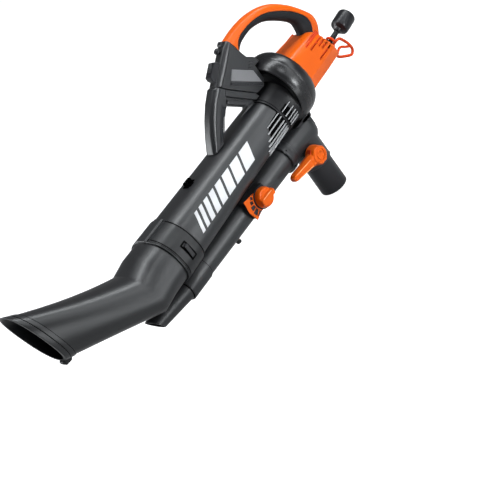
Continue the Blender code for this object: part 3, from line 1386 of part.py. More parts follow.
def bent_rod(name, points, radius, material, closed=False, count=PIN_POINTS):
    """A round bar along a path, mitred at its corners."""
    path = [Vector(p) for p in points]
    total = len(path)
    rings = []
    side = None
    for i, place in enumerate(path):
        before = path[i - 1] if (i > 0 or closed) else None
        after = path[(i + 1) % total] if (i < total - 1 or closed) else None
        into = (place - before).normalized() if before is not None else (after - place).normalized()
        out = (after - place).normalized() if after is not None else into
        along = (into + out).normalized()
        if side is None:
            side = into.orthogonal().normalized()
        side = (side - along * side.dot(along)).normalized()
        lift = along.cross(side)
        stretch = 1.0 / max(0.5, along.dot(into))
        bend = out - into
        across = bend.normalized() if bend.length > 1e-6 else None
        ring = []
        for k in range(count):
            angle = 2.0 * math.pi * k / count
            offset = (side * math.cos(angle) + lift * math.sin(angle)) * radius
            if across is not None:
                offset += across * offset.dot(across) * (stretch - 1.0)
            ring.append(tuple(place + offset))
        rings.append(ring)
    if closed:
        return loop(name, rings, material)
    return loft(name, rings, material)


def cord_point(x):
    return (x, 0.0, CORD_EXIT_Z + (x - MOTOR_REAR_X) * math.sin(CORD_TILT))


def make_cord_end(rubber, steel):
    """Moulded strain relief and the plug that the mains lead clips on to."""
    ends = (cord_point(CORD_START_X), cord_point(CORD_END_X))
    relief = rod("strain_relief", *ends, CORD_RADIUS, rubber, CORD_END_RADIUS, SMALL_POINTS)
    for i in range(RELIEF_RIBS):
        x = HOOK_X + RELIEF_RIB_START + RELIEF_RIB_PITCH * i
        radius = RELIEF_RIB_RADIUS - RELIEF_RIB_TAPER * i
        ends = (cord_point(x), cord_point(x + RELIEF_RIB_LENGTH))
        join(relief, rod(f"relief_rib_{i + 1}", *ends, radius, None, count=SMALL_POINTS))
    length = PLUG_END_X - CORD_END_X
    profile = [(along, PLUG_RADIUS - less) for along, less in PLUG_SHOULDERS]
    profile += [(length - PLUG_EDGE_LENGTH, PLUG_RADIUS), (length, PLUG_RADIUS - PLUG_EDGE_DEPTH)]
    plug = loft("plug_body", [plug_ring(along, radius) for along, radius in profile], rubber)
    well = [plug_ring(along, PLUG_RADIUS - PLUG_RIM) for along in (length - PLUG_WELL_DEPTH, length + PAST)]
    cut(plug, loft("plug_well", well, None))
    for name, side in (("plug_blade_left", -1.0), ("plug_blade_right", 1.0)):
        root = length - BLADE_ROOT_DEPTH
        tip = length - BLADE_END_DEPTH
        slot = [blade_ring(side, along, FIT) for along in (root - FIT, tip + PAST)]
        cut(plug, loft(f"{name}_slot", slot, None))
        loft(name, [blade_ring(side, along, 0.0) for along in (root, tip)], steel)


def plug_point(along, across, up):
    """A point by its distance along the plug from the cord's end, and off its axis."""
    turn = Matrix.Rotation(-CORD_TILT, 4, "Y")
    return tuple(Vector(cord_point(CORD_END_X)) + turn @ Vector((along, across, up)))


def plug_ring(along, radius):
    return [plug_point(along, a, b) for a, b in circle(radius, WHEEL_POINTS)]


def blade_ring(side, along, grow):
    thick = BLADE_HALF_THICKNESS + grow
    high = BLADE_HALF_HEIGHT + grow
    corners = ((-thick, -high), (thick, -high), (thick, high), (-thick, high))
    return [plug_point(along, side * BLADE_SPACING + across, up) for across, up in corners]


def make_cord_hook(accent):
    """Ring round the cord's neck with a loop arm that holds the extension lead."""
    x = HOOK_X
    z = cord_point(x)[2]
    neck = share(CORD_RADIUS, CORD_END_RADIUS, (x - CORD_START_X) / (CORD_END_X - CORD_START_X))
    ring = []
    for a, b in circle(neck + 2.0 * FIT + HOOK_BAR_RADIUS, SMALL_POINTS):
        ring.append((x - b * math.sin(CORD_TILT), a, z + b))
    hook = bent_rod("cord_hook", ring, HOOK_BAR_RADIUS, accent, True)
    low = z - HOOK_ROOT_DROP
    start = [(x + 1.5, -3.0, low), (x + 18.0, -8.0, low)]
    join(hook, bent_rod("hook_arm", [*start, *HOOK_ARM, (x - 1.5, -3.0, low)], HOOK_BAR_RADIUS, None))
    join(hook, bent_rod("hook_bar", HOOK_CROSS_BAR, HOOK_CROSS_BAR_RADIUS, None))


def main():
    for thing in list(bpy.data.objects):
        bpy.data.objects.remove(thing, do_unlink=True)
    charcoal = make_material("charcoal plastic", (0.035, 0.036, 0.038), 0.38)
    black = make_material("black plastic", (0.012, 0.012, 0.013), 0.35)
    orange = make_material("orange plastic", (0.86, 0.16, 0.02), 0.35)
    rubber = make_material("soft grip", (0.03, 0.032, 0.036), 0.6)
    grey = make_material("grey plastic", (0.12, 0.12, 0.125), 0.45)
    steel = make_material("steel", (0.55, 0.56, 0.58), 0.35, 1.0)
    alloy = make_material("cast alloy", (0.62, 0.62, 0.63), 0.45, 1.0)
    copper = make_material("copper winding", (0.55, 0.25, 0.12), 0.4, 1.0)
    carbon = make_material("carbon brush", (0.02, 0.02, 0.02), 0.7)
    make_vacuum_tube(charcoal)
    make_collar(charcoal)
    make_nozzle(charcoal)
    make_nozzle_lip(charcoal)
    make_blower_tube(charcoal)
    make_blower_coupling(charcoal)
    make_blower_tip(charcoal)
    make_fan_housing_front(black)
    make_fan_housing_rear(black)
    make_rotor(alloy, steel, copper)
    make_bearings(steel)
    make_motor_frame(steel, alloy, carbon)
    for name, side in (("motor_cover_left", -1.0), ("motor_cover_right", 1.0)):
        make_motor_cover(name, side, orange)
    make_handle(orange, rubber)
    make_front_housing(black)
    make_switch(black, charcoal, steel)
    make_strap_points(black)
    make_bracket(black)
    make_side_panels(grey)
    make_diverter(black)
    make_outlet(black)
    make_mode_selector(orange, steel, black)
    make_speed_control(orange, black, steel)
    make_latch_button(black)
    make_scale_plate(orange)
    make_louvres(black)
    make_cord_end(rubber, steel)
    make_cord_hook(orange)
    for i, (x, z) in enumerate(HANDLE_SCREWS):
        make_screw(f"handle_screw_{i + 1}", x, z, HANDLE_SCREW_HEAD_Y, steel)
    for i, (x, z) in enumerate(HOUSING_SCREWS):
        make_screw(f"housing_screw_{i + 1}", x, z, HOUSING_SCREW_HEAD_Y, steel)


main()
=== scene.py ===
"""Looks of the hand-held garden blower and vacuum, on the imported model's frame.

Lengths are in millimetres, in the row frame: the nozzle points towards -X, the
operator's left is -Y and +Z is up. MM turns them into Blender's metres. Only the
camera, the lamps, the floor and the height of the grain are given in metres.
"""

import json
import math

import bmesh
import bpy
from mathutils import Matrix, Vector


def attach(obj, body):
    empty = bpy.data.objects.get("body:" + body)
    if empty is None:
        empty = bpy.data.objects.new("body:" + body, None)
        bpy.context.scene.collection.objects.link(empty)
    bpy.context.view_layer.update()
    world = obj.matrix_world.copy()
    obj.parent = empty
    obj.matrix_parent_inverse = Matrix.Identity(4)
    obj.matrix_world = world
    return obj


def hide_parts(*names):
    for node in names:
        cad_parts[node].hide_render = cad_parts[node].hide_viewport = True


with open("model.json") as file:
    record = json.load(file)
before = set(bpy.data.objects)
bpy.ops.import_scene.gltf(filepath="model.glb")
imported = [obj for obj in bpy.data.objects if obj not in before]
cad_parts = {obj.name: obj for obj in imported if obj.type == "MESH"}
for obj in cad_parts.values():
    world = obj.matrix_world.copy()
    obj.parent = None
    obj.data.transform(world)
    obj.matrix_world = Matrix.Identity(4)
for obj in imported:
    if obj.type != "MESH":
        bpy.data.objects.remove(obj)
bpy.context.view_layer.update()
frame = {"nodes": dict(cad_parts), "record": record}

MM = 0.001
NODES = frame["nodes"]
SIDES = (("left", -1.0), ("right", 1.0))

# Camera, from the fit to the photograph
CAMERA_PLACE = (-2.3672, -3.1126, 1.4687)
CAMERA_RIGHT = (0.5361, -0.6444, -0.5452)
CAMERA_UP = (0.7012, -0.0197, 0.7127)
CAMERA_BACK = (-0.47, -0.7644, 0.4413)
CAMERA_LENS = 128.0
CAMERA_SENSOR = 36.0
CAMERA_CLIP_END = 30.0

# Studio
FLOOR_Z = -0.440
FLOOR_SIZE = 40.0
FLOOR_COLOUR = (0.45, 0.45, 0.45, 1.0)
FLOOR_GLOW = 0.92
GLOW_FADE_START = 1.0
GLOW_FADE_END = 5.0
WHITE = (1.0, 1.0, 1.0, 1.0)
WORLD_COLOUR = (0.92, 0.95, 1.0, 1.0)
WORLD_STRENGTH = 0.05
MIRRORED_BACKGROUND = 0.12
LAMP_COLOUR = (0.94, 0.975, 1.0)
MIDDLE = (-0.42, 0.0, -0.16)

# Softboxes: place, aimed point, width, height, watts and spread in degrees
SOFTBOXES = {
    "top_softbox": ((0.49, -0.12, 1.49), MIDDLE, 0.25, 2.4, 30.0, 180.0),
    "key_softbox": ((0.53, -1.5, 0.3), MIDDLE, 1.1, 1.3, 9.5, 180.0),
    "front_softbox": ((0.02, -1.68, -0.07), (-0.18, -0.09, -0.15), 0.55, 0.55, 1.0, 34.0),
    "side_softbox": ((1.22, -0.6, 0.78), MIDDLE, 1.8, 0.6, 10.0, 180.0),
    "low_softbox": ((-0.62, -0.66, -0.44), (-0.62, -0.35, 0.3), 1.0, 0.6, 8.0, 180.0),
    "rim_softbox": ((0.2, -1.15, 1.3), MIDDLE, 0.6, 0.5, 6.0, 180.0),
    "roof_softbox": ((-0.3, 0.4, 1.7), MIDDLE, 1.6, 1.2, 9.0, 180.0),
    "back_softbox": ((-1.62, 1.5, 0.44), MIDDLE, 1.6, 0.9, 30.0, 180.0),
}

# Moulded surfaces
REFRACTION = 1.5
MOTTLE_SCALE = 14.0
MOTTLE_START = 0.3
MOTTLE_END = 0.72
WEAR_START = 0.52
WEAR_END = 0.62
WORN_GAIN = 1.7
WORN_LIFT = 0.03
GLOSSIER = 0.05
DULLER = 0.07
GRAIN_HEIGHT = 0.0006

# Fits between pieces
FIT = 0.3
HALF_SPLIT = 0.15

# Rotor axis
AXIS_Z = -142.0

# Suction tube, with its crease, stripes, latch and eyelet
TUBE_REAR_X = -165.0
TUBE_FRONT_X = -612.0
TUBE_REAR_Z = -162.5
TUBE_FRONT_Z = -179.0
TUBE_REAR_HALF_WIDTH = 60.0
TUBE_FRONT_HALF_WIDTH = 74.0
TUBE_REAR_HALF_HEIGHT = 50.0
TUBE_FRONT_HALF_HEIGHT = 59.5
TUBE_MEAN_RADIUS = 62.0
TUBE_WALL = 2.6
OVAL_POWER = 2.4
OVAL_SPREAD = 0.14
LEFT_ANGLE = 180.0
CREASE_ANGLE = 230.5
CREASE_HALF_WIDTH = 0.35
CREASE_DEPTH = 1.1
STRIPE_START_X = -298.0
STRIPE_TOP_ANGLE = 149.0
STRIPE_LOW_ANGLE = 184.5
STRIPE_SLANT = 22.0
STRIPE_GAP = 8.0
LATCH_X = -608.0
LATCH_ROOM = 0.6
EYELET_X = -458.0

# Collar and nozzle
COLLAR_REAR_X = -575.0
COLLAR_FRONT_X = -645.0
COLLAR_WALL = 4.0
COLLAR_TOP = COLLAR_WALL + FIT
NOZZLE_BEND_X = -735.0
NOZZLE_BEND_Z = -189.0
NOZZLE_MOUTH_X = -992.0
NOZZLE_MOUTH_Z = -60.0
NOZZLE_MOUTH_HALF_WIDTH = 42.0
NOZZLE_MOUTH_HALF_HEIGHT = 85.0
NOZZLE_MOUTH_LEAN = math.radians(-13.0)
LIP_START = 1.0 - 27.0 / (NOZZLE_BEND_X - NOZZLE_MOUTH_X)

# Blower tube, with the lug under it
BLOW_REAR_Z = -262.0
BLOW_FRONT_Z = -273.5
BLOW_REAR_X = -205.0
BLOW_FRONT_X = -600.0
BLOW_REAR_RADIUS = 36.0
BLOW_FRONT_RADIUS = 28.5
BLOW_WALL = 2.2
COUPLING_REAR_X = -566.0
COUPLING_FRONT_X = -636.0
TIP_END_X = -748.0
TIP_END_Z = -270.0
TIP_END_RADIUS = 24.0
TIP_END_LEAN = math.radians(-32.0)
LUG_X = -450.0
LUG_Y = -8.0

# Fan case and its neck
FAN_RADIUS = 91.0
FAN_FRONT_X = -132.0
FAN_SPLIT_X = -100.0
FAN_REAR_X = -60.0
FAN_HOLE_RADIUS = 14.0
NECK_FRONT_X = -188.0

# Diverter, outlet and lever
BARREL_Z = -262.0
BARREL_RADIUS = 39.5
BARREL_FRONT_X = -222.0
BARREL_REAR_X = -90.0
OUTLET_X = -136.0
OUTLET_RADIUS = 35.0
OUTLET_TOP_Z = -331.0
OUTLET_END_Z = -424.0
STEM_Y = -6.0
STEM_Z = -352.0
FLAP_X = -163.0
FLAP_Z = -303.5
LEVER_BACK_Y = -39.5
LEVER_FACE_Y = -66.0
LEVER_ARM_ANGLE = math.radians(174.0)
LEVER_SHADE_ANGLE = math.radians(126.0)

# Speed dial
DIAL_X = -350.0
DIAL_Z = -262.0
DIAL_RADIUS = 25.0
DIAL_BACK_Y = -46.6
DIAL_FACE_Y = -60.6
DIAL_BAR_FACE_Y = -68.6
CONTROL_FACE_Y = -43.0

# Motor cover and cord end
MOTOR_HALF_WIDTH = 50.0
MOTOR_HALF_HEIGHT = 54.0
MOTOR_POWER = 5.0
MOTOR_REAR_X = 66.0
MOTOR_REAR_LEAN = math.radians(-20.0)
MOTOR_WALL = 3.0
FACET_ACROSS = 0.91
FACET_DOWN = 0.41
FACET_REACH = 1.07
CORD_EXIT_Z = -177.0
CORD_TILT = math.radians(6.0)
CORD_END_X = 134.0
PLUG_RADIUS = 23.0
HOOK_X = 104.0

# Handle, front housing and strut
GRIP_HALF_WIDTH = 18.0
GRIP_POWER = 2.6
GRIP_SEAM = 0.05
SHELL_TOP = 0.997
HOUSING_HALF_WIDTH = 18.0
HOUSING_EDGE = 1.2
NOSE_HALF_WIDTH = 7.0
NOSE_STEPS = 9

# Corners of a ring
SMOOTH = 96
ROUND = 64


def share(start, end, t):
    return start + (end - start) * t


def offsets(x, second, pairs):
    """Points that are each given by their distances from the point (x, second)."""
    return [(x + dx, second + d) for dx, d in pairs]


def strip(start, end, low, high):
    """The outline of a flat band between two places and two heights."""
    return ((start, low), (start, high), (end, high), (end, low))


def lay_camera():
    data = bpy.data.cameras.new("studio_camera")
    camera = bpy.data.objects.new("studio_camera", data)
    bpy.context.scene.collection.objects.link(camera)
    turn = Matrix((CAMERA_RIGHT, CAMERA_UP, CAMERA_BACK)).transposed()
    camera.matrix_world = Matrix.Translation(CAMERA_PLACE) @ turn.to_4x4()
    data.lens = CAMERA_LENS
    data.sensor_width = CAMERA_SENSOR
    data.clip_end = CAMERA_CLIP_END
    bpy.context.scene.camera = camera


def add_node(tree, kind, **values):
    """A new shader node; an underscore in the name of a value is a space in its socket's name."""
    node = tree.nodes.new(kind)
    for name, value in values.items():
        node.inputs[name.replace("_", " ")].default_value = value
    return node


def link(source, output, target, socket):
    """Leads an output of one shader node to an input of another."""
    source.id_data.links.new(source.outputs[output], target.inputs[socket])


def background_rays(tree):
    """A node that gives 1 for rays of the camera and through glass, and a share for mirrored rays.

    The share is small, so that black plastic stays black.
    """
    path = add_node(tree, "ShaderNodeLightPath")
    largest = add_node(tree, "ShaderNodeMath")
    largest.operation = "MULTIPLY"
    largest.inputs[1].default_value = MIRRORED_BACKGROUND
    link(path, "Is Glossy Ray", largest, 0)
    for ray in ("Is Camera Ray", "Is Transmission Ray"):
        larger = add_node(tree, "ShaderNodeMath")
        larger.operation = "MAXIMUM"
        link(largest, 0, larger, 0)
        link(path, ray, larger, 1)
        largest = larger
    return largest


def show_background(tree, plain, background, output):
    """Gives rays that see the background one shader, and all others the plain one."""
    mix = add_node(tree, "ShaderNodeMixShader")
    link(background_rays(tree), 0, mix, 0)
    link(plain, 0, mix, 1)
    link(background, 0, mix, 2)
    link(mix, 0, output, "Surface")


def area_light(name, place, aim, width, height, watts, spread):
    """A rectangular softbox that faces the point it is aimed at."""
    data = bpy.data.lights.new(name, "AREA")
    data.energy = watts
    data.shape = "RECTANGLE"
    data.size = width
    data.size_y = height
    data.color = LAMP_COLOUR
    data.spread = math.radians(spread)
    lamp = bpy.data.objects.new(name, data)
    lamp.location = place
    lamp.rotation_euler = (Vector(aim) - Vector(place)).to_track_quat("-Z", "Y").to_euler()
    bpy.context.scene.collection.objects.link(lamp)


def light_studio():
    scene = bpy.context.scene
    scene.view_settings.view_transform = "Standard"
    world = bpy.data.worlds.new("studio")
    scene.world = world
    world.use_nodes = True
    tree = world.node_tree
    tree.nodes.clear()
    output = add_node(tree, "ShaderNodeOutputWorld")
    dim = add_node(tree, "ShaderNodeBackground", Color=WORLD_COLOUR, Strength=WORLD_STRENGTH)
    white = add_node(tree, "ShaderNodeBackground", Color=WHITE, Strength=1.0)
    show_background(tree, dim, white, output)
    for name, values in SOFTBOXES.items():
        area_light(name, *values)


def lay_floor():
    """A pale floor that keeps the shadow, and whose glow fades to pure white further out."""
    bpy.ops.mesh.primitive_plane_add(size=FLOOR_SIZE, location=(0.0, 0.0, FLOOR_Z))
    floor = bpy.context.object
    floor.name = "studio_floor"
    material = bpy.data.materials.new("studio_floor")
    material.use_nodes = True
    tree = material.node_tree
    tree.nodes.clear()
    output = add_node(tree, "ShaderNodeOutputMaterial")
    matte = add_node(tree, "ShaderNodeBsdfDiffuse", Color=FLOOR_COLOUR)
    glow = add_node(tree, "ShaderNodeEmission", Color=WHITE)
    place = add_node(tree, "ShaderNodeTexCoord")
    distance = add_node(tree, "ShaderNodeVectorMath")
    distance.operation = "LENGTH"
    fade = add_node(tree, "ShaderNodeMapRange", From_Min=GLOW_FADE_START, From_Max=GLOW_FADE_END,
                    To_Min=FLOOR_GLOW, To_Max=1.0)
    link(place, "Object", distance, 0)
    link(distance, "Value", fade, "Value")
    link(fade, "Result", glow, "Strength")
    lit = add_node(tree, "ShaderNodeAddShader")
    link(matte, 0, lit, 0)
    link(glow, 0, lit, 1)
    show_background(tree, matte, lit, output)
    floor.data.materials.append(material)


def add_ramp(source, output, stops):
    """A colour ramp with two (position, colour) stops, driven by an output of a node."""
    node = add_node(source.id_data, "ShaderNodeValToRGB")
    for element, (position, colour) in zip(node.color_ramp.elements, stops):
        element.position = position
        element.color = (*colour, 1.0)
    link(source, output, node, "Fac")
    return node


def moulded(name, colour, roughness, grain=1400.0, depth=0.08, variation=0.12, wear=0.25,
            metallic=0.0, specular=0.5, slot=None):
    """A moulded or cast surface: fine grain in the bump, slight mottling, and paler worn edges."""
    material = bpy.data.materials.new(name)
    material["slot"] = slot or name
    material.use_nodes = True
    tree = material.node_tree
    shader = tree.nodes["Principled BSDF"]
    shader.inputs["Metallic"].default_value = metallic
    shader.inputs["IOR"].default_value = REFRACTION
    shader.inputs["Specular IOR Level"].default_value = specular
    place = add_node(tree, "ShaderNodeTexCoord")
    cloud = add_node(tree, "ShaderNodeTexNoise", Scale=MOTTLE_SCALE, Detail=5.0)
    link(place, "Object", cloud, "Vector")
    dark = [c * (1.0 - variation) for c in colour]
    pale = [min(1.0, c * (1.0 + variation)) for c in colour]
    tone = add_ramp(cloud, "Fac", ((MOTTLE_START, dark), (MOTTLE_END, pale)))
    geometry = add_node(tree, "ShaderNodeNewGeometry")
    edge = add_ramp(geometry, "Pointiness", ((WEAR_START, (0.0, 0.0, 0.0)), (WEAR_END, (wear, wear, wear))))
    paint = add_node(tree, "ShaderNodeMix")
    paint.data_type = "RGBA"
    worn = [min(1.0, c * WORN_GAIN + WORN_LIFT) for c in colour]
    paint.inputs["B"].default_value = (*worn, 1.0)
    link(edge, "Color", paint, "Factor")
    link(tone, "Color", paint, "A")
    link(paint, "Result", shader, "Base Color")
    gloss = add_node(tree, "ShaderNodeMapRange", To_Min=roughness - GLOSSIER, To_Max=roughness + DULLER)
    link(cloud, "Fac", gloss, "Value")
    link(gloss, "Result", shader, "Roughness")
    speck = add_node(tree, "ShaderNodeTexNoise", Scale=grain, Detail=2.0)
    link(place, "Object", speck, "Vector")
    bump = add_node(tree, "ShaderNodeBump", Strength=depth, Distance=GRAIN_HEIGHT)
    link(speck, "Fac", bump, "Height")
    link(bump, "Normal", shader, "Normal")
    return material


# Looks that several materials share
SATIN = {"grain": 620.0, "depth": 0.2, "slot": "charcoal_plastic"}
SLEEK = {"depth": 0.04, "variation": 0.05, "wear": 0.1, "slot": "orange_plastic"}
DARK = {"slot": "black_plastic"}

CHARCOAL = moulded("charcoal_plastic", (0.013, 0.0135, 0.015), 0.33, **SATIN)
# Darker copy of the charcoal plastic: painted shade for the light falling off towards the tube's front end.
SHADED_CHARCOAL = moulded("collar_shaded_plastic", (0.008, 0.0085, 0.0095), 0.34, specular=0.34, **SATIN)
BLACK = moulded("black_plastic", (0.008, 0.008, 0.010), 0.32, specular=0.3)
ORANGE = moulded("orange_plastic", (0.65, 0.096, 0.004), 0.28, specular=0.2, **SLEEK)
RUBBER = moulded("soft_grip", (0.008, 0.009, 0.011), 0.6, grain=900.0, depth=0.15, wear=0.04, specular=0.2)
GREY = moulded("grey_plastic", (0.115, 0.115, 0.12), 0.42, grain=420.0, depth=0.35)
STEEL = moulded("steel", (0.55, 0.56, 0.58), 0.34, grain=600.0, depth=0.1, wear=0.3, metallic=1.0)
ALLOY = moulded("cast_alloy", (0.60, 0.60, 0.61), 0.45, grain=400.0, depth=0.4, wear=0.3, metallic=1.0)
COPPER = moulded("copper_winding", (0.55, 0.22, 0.09), 0.4, grain=700.0, depth=0.3, wear=0.2, metallic=1.0)
# Pale grey on the black slats: painted highlight along their crests.
HIGHLIGHT_SLAT = moulded("slat_painted_highlight", (0.32, 0.32, 0.325), 0.3, **DARK)
CASE = moulded("case_plastic", (0.007, 0.007, 0.008), 0.27, specular=0.42, **DARK)
# Pale orange on the ridges of the lever and the dial: painted highlight.
ORANGE_HIGHLIGHT = moulded("orange_painted_highlight", (0.95, 0.36, 0.12), 0.2, **SLEEK)
# Darkest, dullest black for the fan's face and neck: painted shade inside the rim.
SHADED_BLACK = moulded("recess_shaded_plastic", (0.005, 0.005, 0.006), 0.42, specular=0.18, **DARK)
HOOK = moulded("hook_orange", (0.60, 0.052, 0.004), 0.3, specular=0.2, **SLEEK)
# Dark red orange: painted shade behind the motor cover's slots and on the notch of the lever's hub.
ORANGE_SHADE = moulded("orange_painted_shade", (0.50, 0.035, 0.003), 0.5, specular=0.2, slot="orange_plastic")
# Near-black painted shadow for seams, grooves, the latch's border, the louvre fields and the eyelet.
PAINTED_SHADOW = moulded("seam_shadow", (0.0015, 0.0015, 0.0016), 0.9, depth=0.02, wear=0.0, specular=0.0, **DARK)
CARBON = moulded("carbon_brush", (0.02, 0.02, 0.02), 0.7, grain=900.0, depth=0.3)
PRINT = moulded("silver_print", (0.50, 0.50, 0.51), 0.4, grain=2200.0, depth=0.1, wear=0.1,
                metallic=0.35, slot="grey_plastic")
SLOT_MATERIALS = {
    material["slot"]: material
    for material in (CHARCOAL, BLACK, ORANGE, RUBBER, GREY, STEEL, ALLOY, COPPER, CARBON)
}


def dress_nodes():
    """Every CAD node gets its slot's material."""
    for entry in frame["record"]["subparts"]:
        node = NODES[entry["node"]]
        material = SLOT_MATERIALS[entry["material_slot"]]
        if not node.material_slots:
            node.data.materials.append(material)
        for place in node.material_slots:
            place.material = material


def raw(name, *shells):
    """An object from closed shells, each a (points, faces) pair in millimetres."""
    shape = bmesh.new()
    for points, faces in shells:
        corners = [shape.verts.new(Vector(p) * MM) for p in points]
        for face in faces:
            shape.faces.new([corners[i] for i in face])
    bmesh.ops.recalc_face_normals(shape, faces=shape.faces[:])
    mesh = bpy.data.meshes.new(name)
    shape.to_mesh(mesh)
    shape.free()
    thing = bpy.data.objects.new(name, mesh)
    bpy.context.scene.collection.objects.link(thing)
    return thing


def carve(thing, *cutters, operation="DIFFERENCE"):
    """Cuts the cutters out of thing, joins them or keeps what they share, and removes them."""
    for cutter in cutters:
        modifier = thing.modifiers.new("carve", "BOOLEAN")
        modifier.operation = operation
        modifier.solver = "EXACT"
        modifier.object = cutter
    graph = bpy.context.evaluated_depsgraph_get()
    mesh = bpy.data.meshes.new_from_object(thing.evaluated_get(graph))
    thing.modifiers.clear()
    thing.data = mesh
    for cutter in cutters:
        bpy.data.objects.remove(cutter, do_unlink=True)


def piece(thing, material, *nodes, body="machine", bevel=0.0, segments=2, angle=32.0):
    """Gives a raw object its smoothing and material, hangs it on its body, and hides the CAD nodes it
    stands for.
    """
    mesh = thing.data
    mesh.materials.clear()
    mesh.materials.append(material)
    mesh.shade_smooth()
    if bevel:
        modifier = thing.modifiers.new("soft_edges", "BEVEL")
        modifier.width = bevel * MM
        modifier.segments = segments
        modifier.limit_method = "ANGLE"
        modifier.angle_limit = math.radians(angle)
        thing.modifiers.new("even_shading", "WEIGHTED_NORMAL")
    else:
        mesh.set_sharp_from_angle(angle=math.radians(angle))
    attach(thing, body)
    if nodes:
        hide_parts(*nodes)


def lofted(rings, closed=False):
    """A shell through rings, capped at both ends or led back to the first ring."""
    count = len(rings[0])
    total = len(rings)
    faces = []
    for row in range(total if closed else total - 1):
        a = row * count
        b = ((row + 1) % total) * count
        for i in range(count):
            j = (i + 1) % count
            faces.append((a + i, a + j, b + j, b + i))
    if not closed:
        faces.append(tuple(range(count)))
        faces.append(tuple(range((total - 1) * count, total * count)))
    return [p for ring in rings for p in ring], faces


def looped(rings):
    return lofted(rings, True)


def mirrored(shell):
    points, faces = shell
    return [(x, -y, z) for x, y, z in points], faces


def turns(count):
    """Angles of the corners of a ring."""
    return [2.0 * math.pi * (i + 0.5) / count for i in range(count)]


def circle(radius, count=ROUND):
    return [(radius * math.cos(a), radius * math.sin(a)) for a in turns(count)]


def oval_point(x, z, half_width, half_height, angle, power=OVAL_POWER, spread=0.0, lean=0.0):
    """A point of a superellipse round (x, z), which may be wider below and lean forward at its top."""
    c = math.cos(angle)
    s = math.sin(angle)
    y = half_width * math.copysign(abs(c) ** (2.0 / power), c)
    up = half_height * math.copysign(abs(s) ** (2.0 / power), s)
    y *= 1.0 - spread * up / half_height
    return (x + up * math.sin(lean), y, z + up * math.cos(lean))


def oval_ring(x, z, half_width, half_height, power=OVAL_POWER, spread=0.0, lean=0.0, count=SMOOTH):
    return [oval_point(x, z, half_width, half_height, a, power, spread, lean) for a in turns(count)]


def round_ring(x, z, radius, lean=0.0, count=ROUND):
    return oval_ring(x, z, radius, radius, 2.0, 0.0, lean, count)


def turned_x(profile):
    """A ring-shaped shell turned round the rotor's axis, from a closed (x, radius) outline."""
    return looped([round_ring(x, AXIS_Z, radius, 0.0, SMOOTH) for x, radius in profile])


def turned_y(profile, x, z):
    """A capped shell turned round an axis along Y, from (y, radius) stations."""
    return lofted([[(x + a, y, z + b) for a, b in circle(radius)] for y, radius in profile])


def turned_z(profile, x):
    """Rings round an upright axis on the middle plane, from (z, radius) stations."""
    return [[(x + a, b, z) for a, b in circle(radius)] for z, radius in profile]


def spun(start, along, profile, count):
    """Rings round an axis through start, from (distance, radius) stations."""
    turn = along.to_track_quat("Z", "Y").to_matrix()
    rings = []
    for distance, radius in profile:
        rings.append([tuple(start + turn @ Vector((a, b, distance))) for a, b in circle(radius, count)])
    return rings


def bar_shell(start, end, radius, end_radius=None, count=32):
    """A straight round bar between two points."""
    a = Vector(start)
    b = Vector(end)
    turn = (b - a).normalized().to_track_quat("Z", "Y").to_matrix()
    rings = []
    for middle, size in ((a, radius), (b, end_radius or radius)):
        rings.append([tuple(middle + turn @ Vector((u, v, 0.0))) for u, v in circle(size, count)])
    return lofted(rings)


def box_shell(low, high):
    x0, y0, z0 = low
    x1, y1, z1 = high
    return lofted([[(x, y0, z0), (x, y1, z0), (x, y1, z1), (x, y0, z1)] for x in (x0, x1)])


def side_box(side, near, far, low, high):
    """A box on one side of the middle plane, between two distances and two (x, z) corners."""
    y0, y1 = sorted((side * near, side * far))
    return box_shell((low[0], y0, low[1]), (high[0], y1, high[1]))


def keystone(x, base, base_half, crest, crest_half):
    """A four-cornered section across X, symmetric to the middle plane."""
    return [(x, -base_half, base), (x, base_half, base), (x, crest_half, crest), (x, -crest_half, crest)]


def plate_shell(outline, *levels):
    """A plate from its (x, z) outline: levels are (y, inset) pairs from one side to the other."""
    return lofted([[(x, y, z) for x, z in inset(outline, distance)] for y, distance in levels])


def side_plate(outline, side, *levels):
    """A plate on one side of the middle plane, with its levels counted outwards."""
    return plate_shell(outline, *[(side * y, distance) for y, distance in levels])


def inset(outline, distance):
    """The outline drawn in by distance, corner by corner."""
    if not distance:
        return list(outline)
    corners = [Vector(point) for point in outline]
    following = corners[1:] + corners[:1]
    area = sum(a.x * b.y - b.x * a.y for a, b in zip(corners, following))
    turn = 1.0 if area > 0.0 else -1.0
    moved = []
    for i, corner in enumerate(corners):
        before = (corner - corners[i - 1]).normalized()
        after = (following[i] - corner).normalized()
        normal_a = Vector((-before.y, before.x)) * turn
        normal_b = Vector((-after.y, after.x)) * turn
        scale = distance / max(0.35, 1.0 + normal_a.dot(normal_b))
        point = corner + (normal_a + normal_b) * scale
        moved.append((point.x, point.y))
    return moved


def smooth_line(points, steps=5):
    """Points on a smooth curve through the given ones, which it keeps."""
    line = []
    last = len(points) - 1
    for i in range(last):
        p0, p1, p2, p3 = [Vector(points[min(last, max(0, i + k))]) for k in (-1, 0, 1, 2)]
        a = (p2 - p0) * 0.5
        b = (p3 - p1) * 0.5
        for k in range(steps):
            t = k / steps
            place = p1 * (2 * t ** 3 - 3 * t ** 2 + 1) + a * (t ** 3 - 2 * t ** 2 + t)
            place += p2 * (3 * t ** 2 - 2 * t ** 3) + b * (t ** 3 - t ** 2)
            line.append(place)
    line.append(Vector(points[-1]))
    return line


def wire_shell(path, radius, closed=False, count=16):
    """A round bar along a path of points."""
    total = len(path)
    rings = []
    side = None
    for i, place in enumerate(path):
        before = path[i - 1] if (i > 0 or closed) else place
        after = path[(i + 1) % total] if (i < total - 1 or closed) else place
        along = (after - before).normalized()
        if side is None:
            side = along.orthogonal().normalized()
        side = (side - along * side.dot(along)).normalized()
        lift = along.cross(side)
        rings.append([tuple(place + side * u + lift * v) for u, v in circle(radius, count)])
    return lofted(rings, closed)


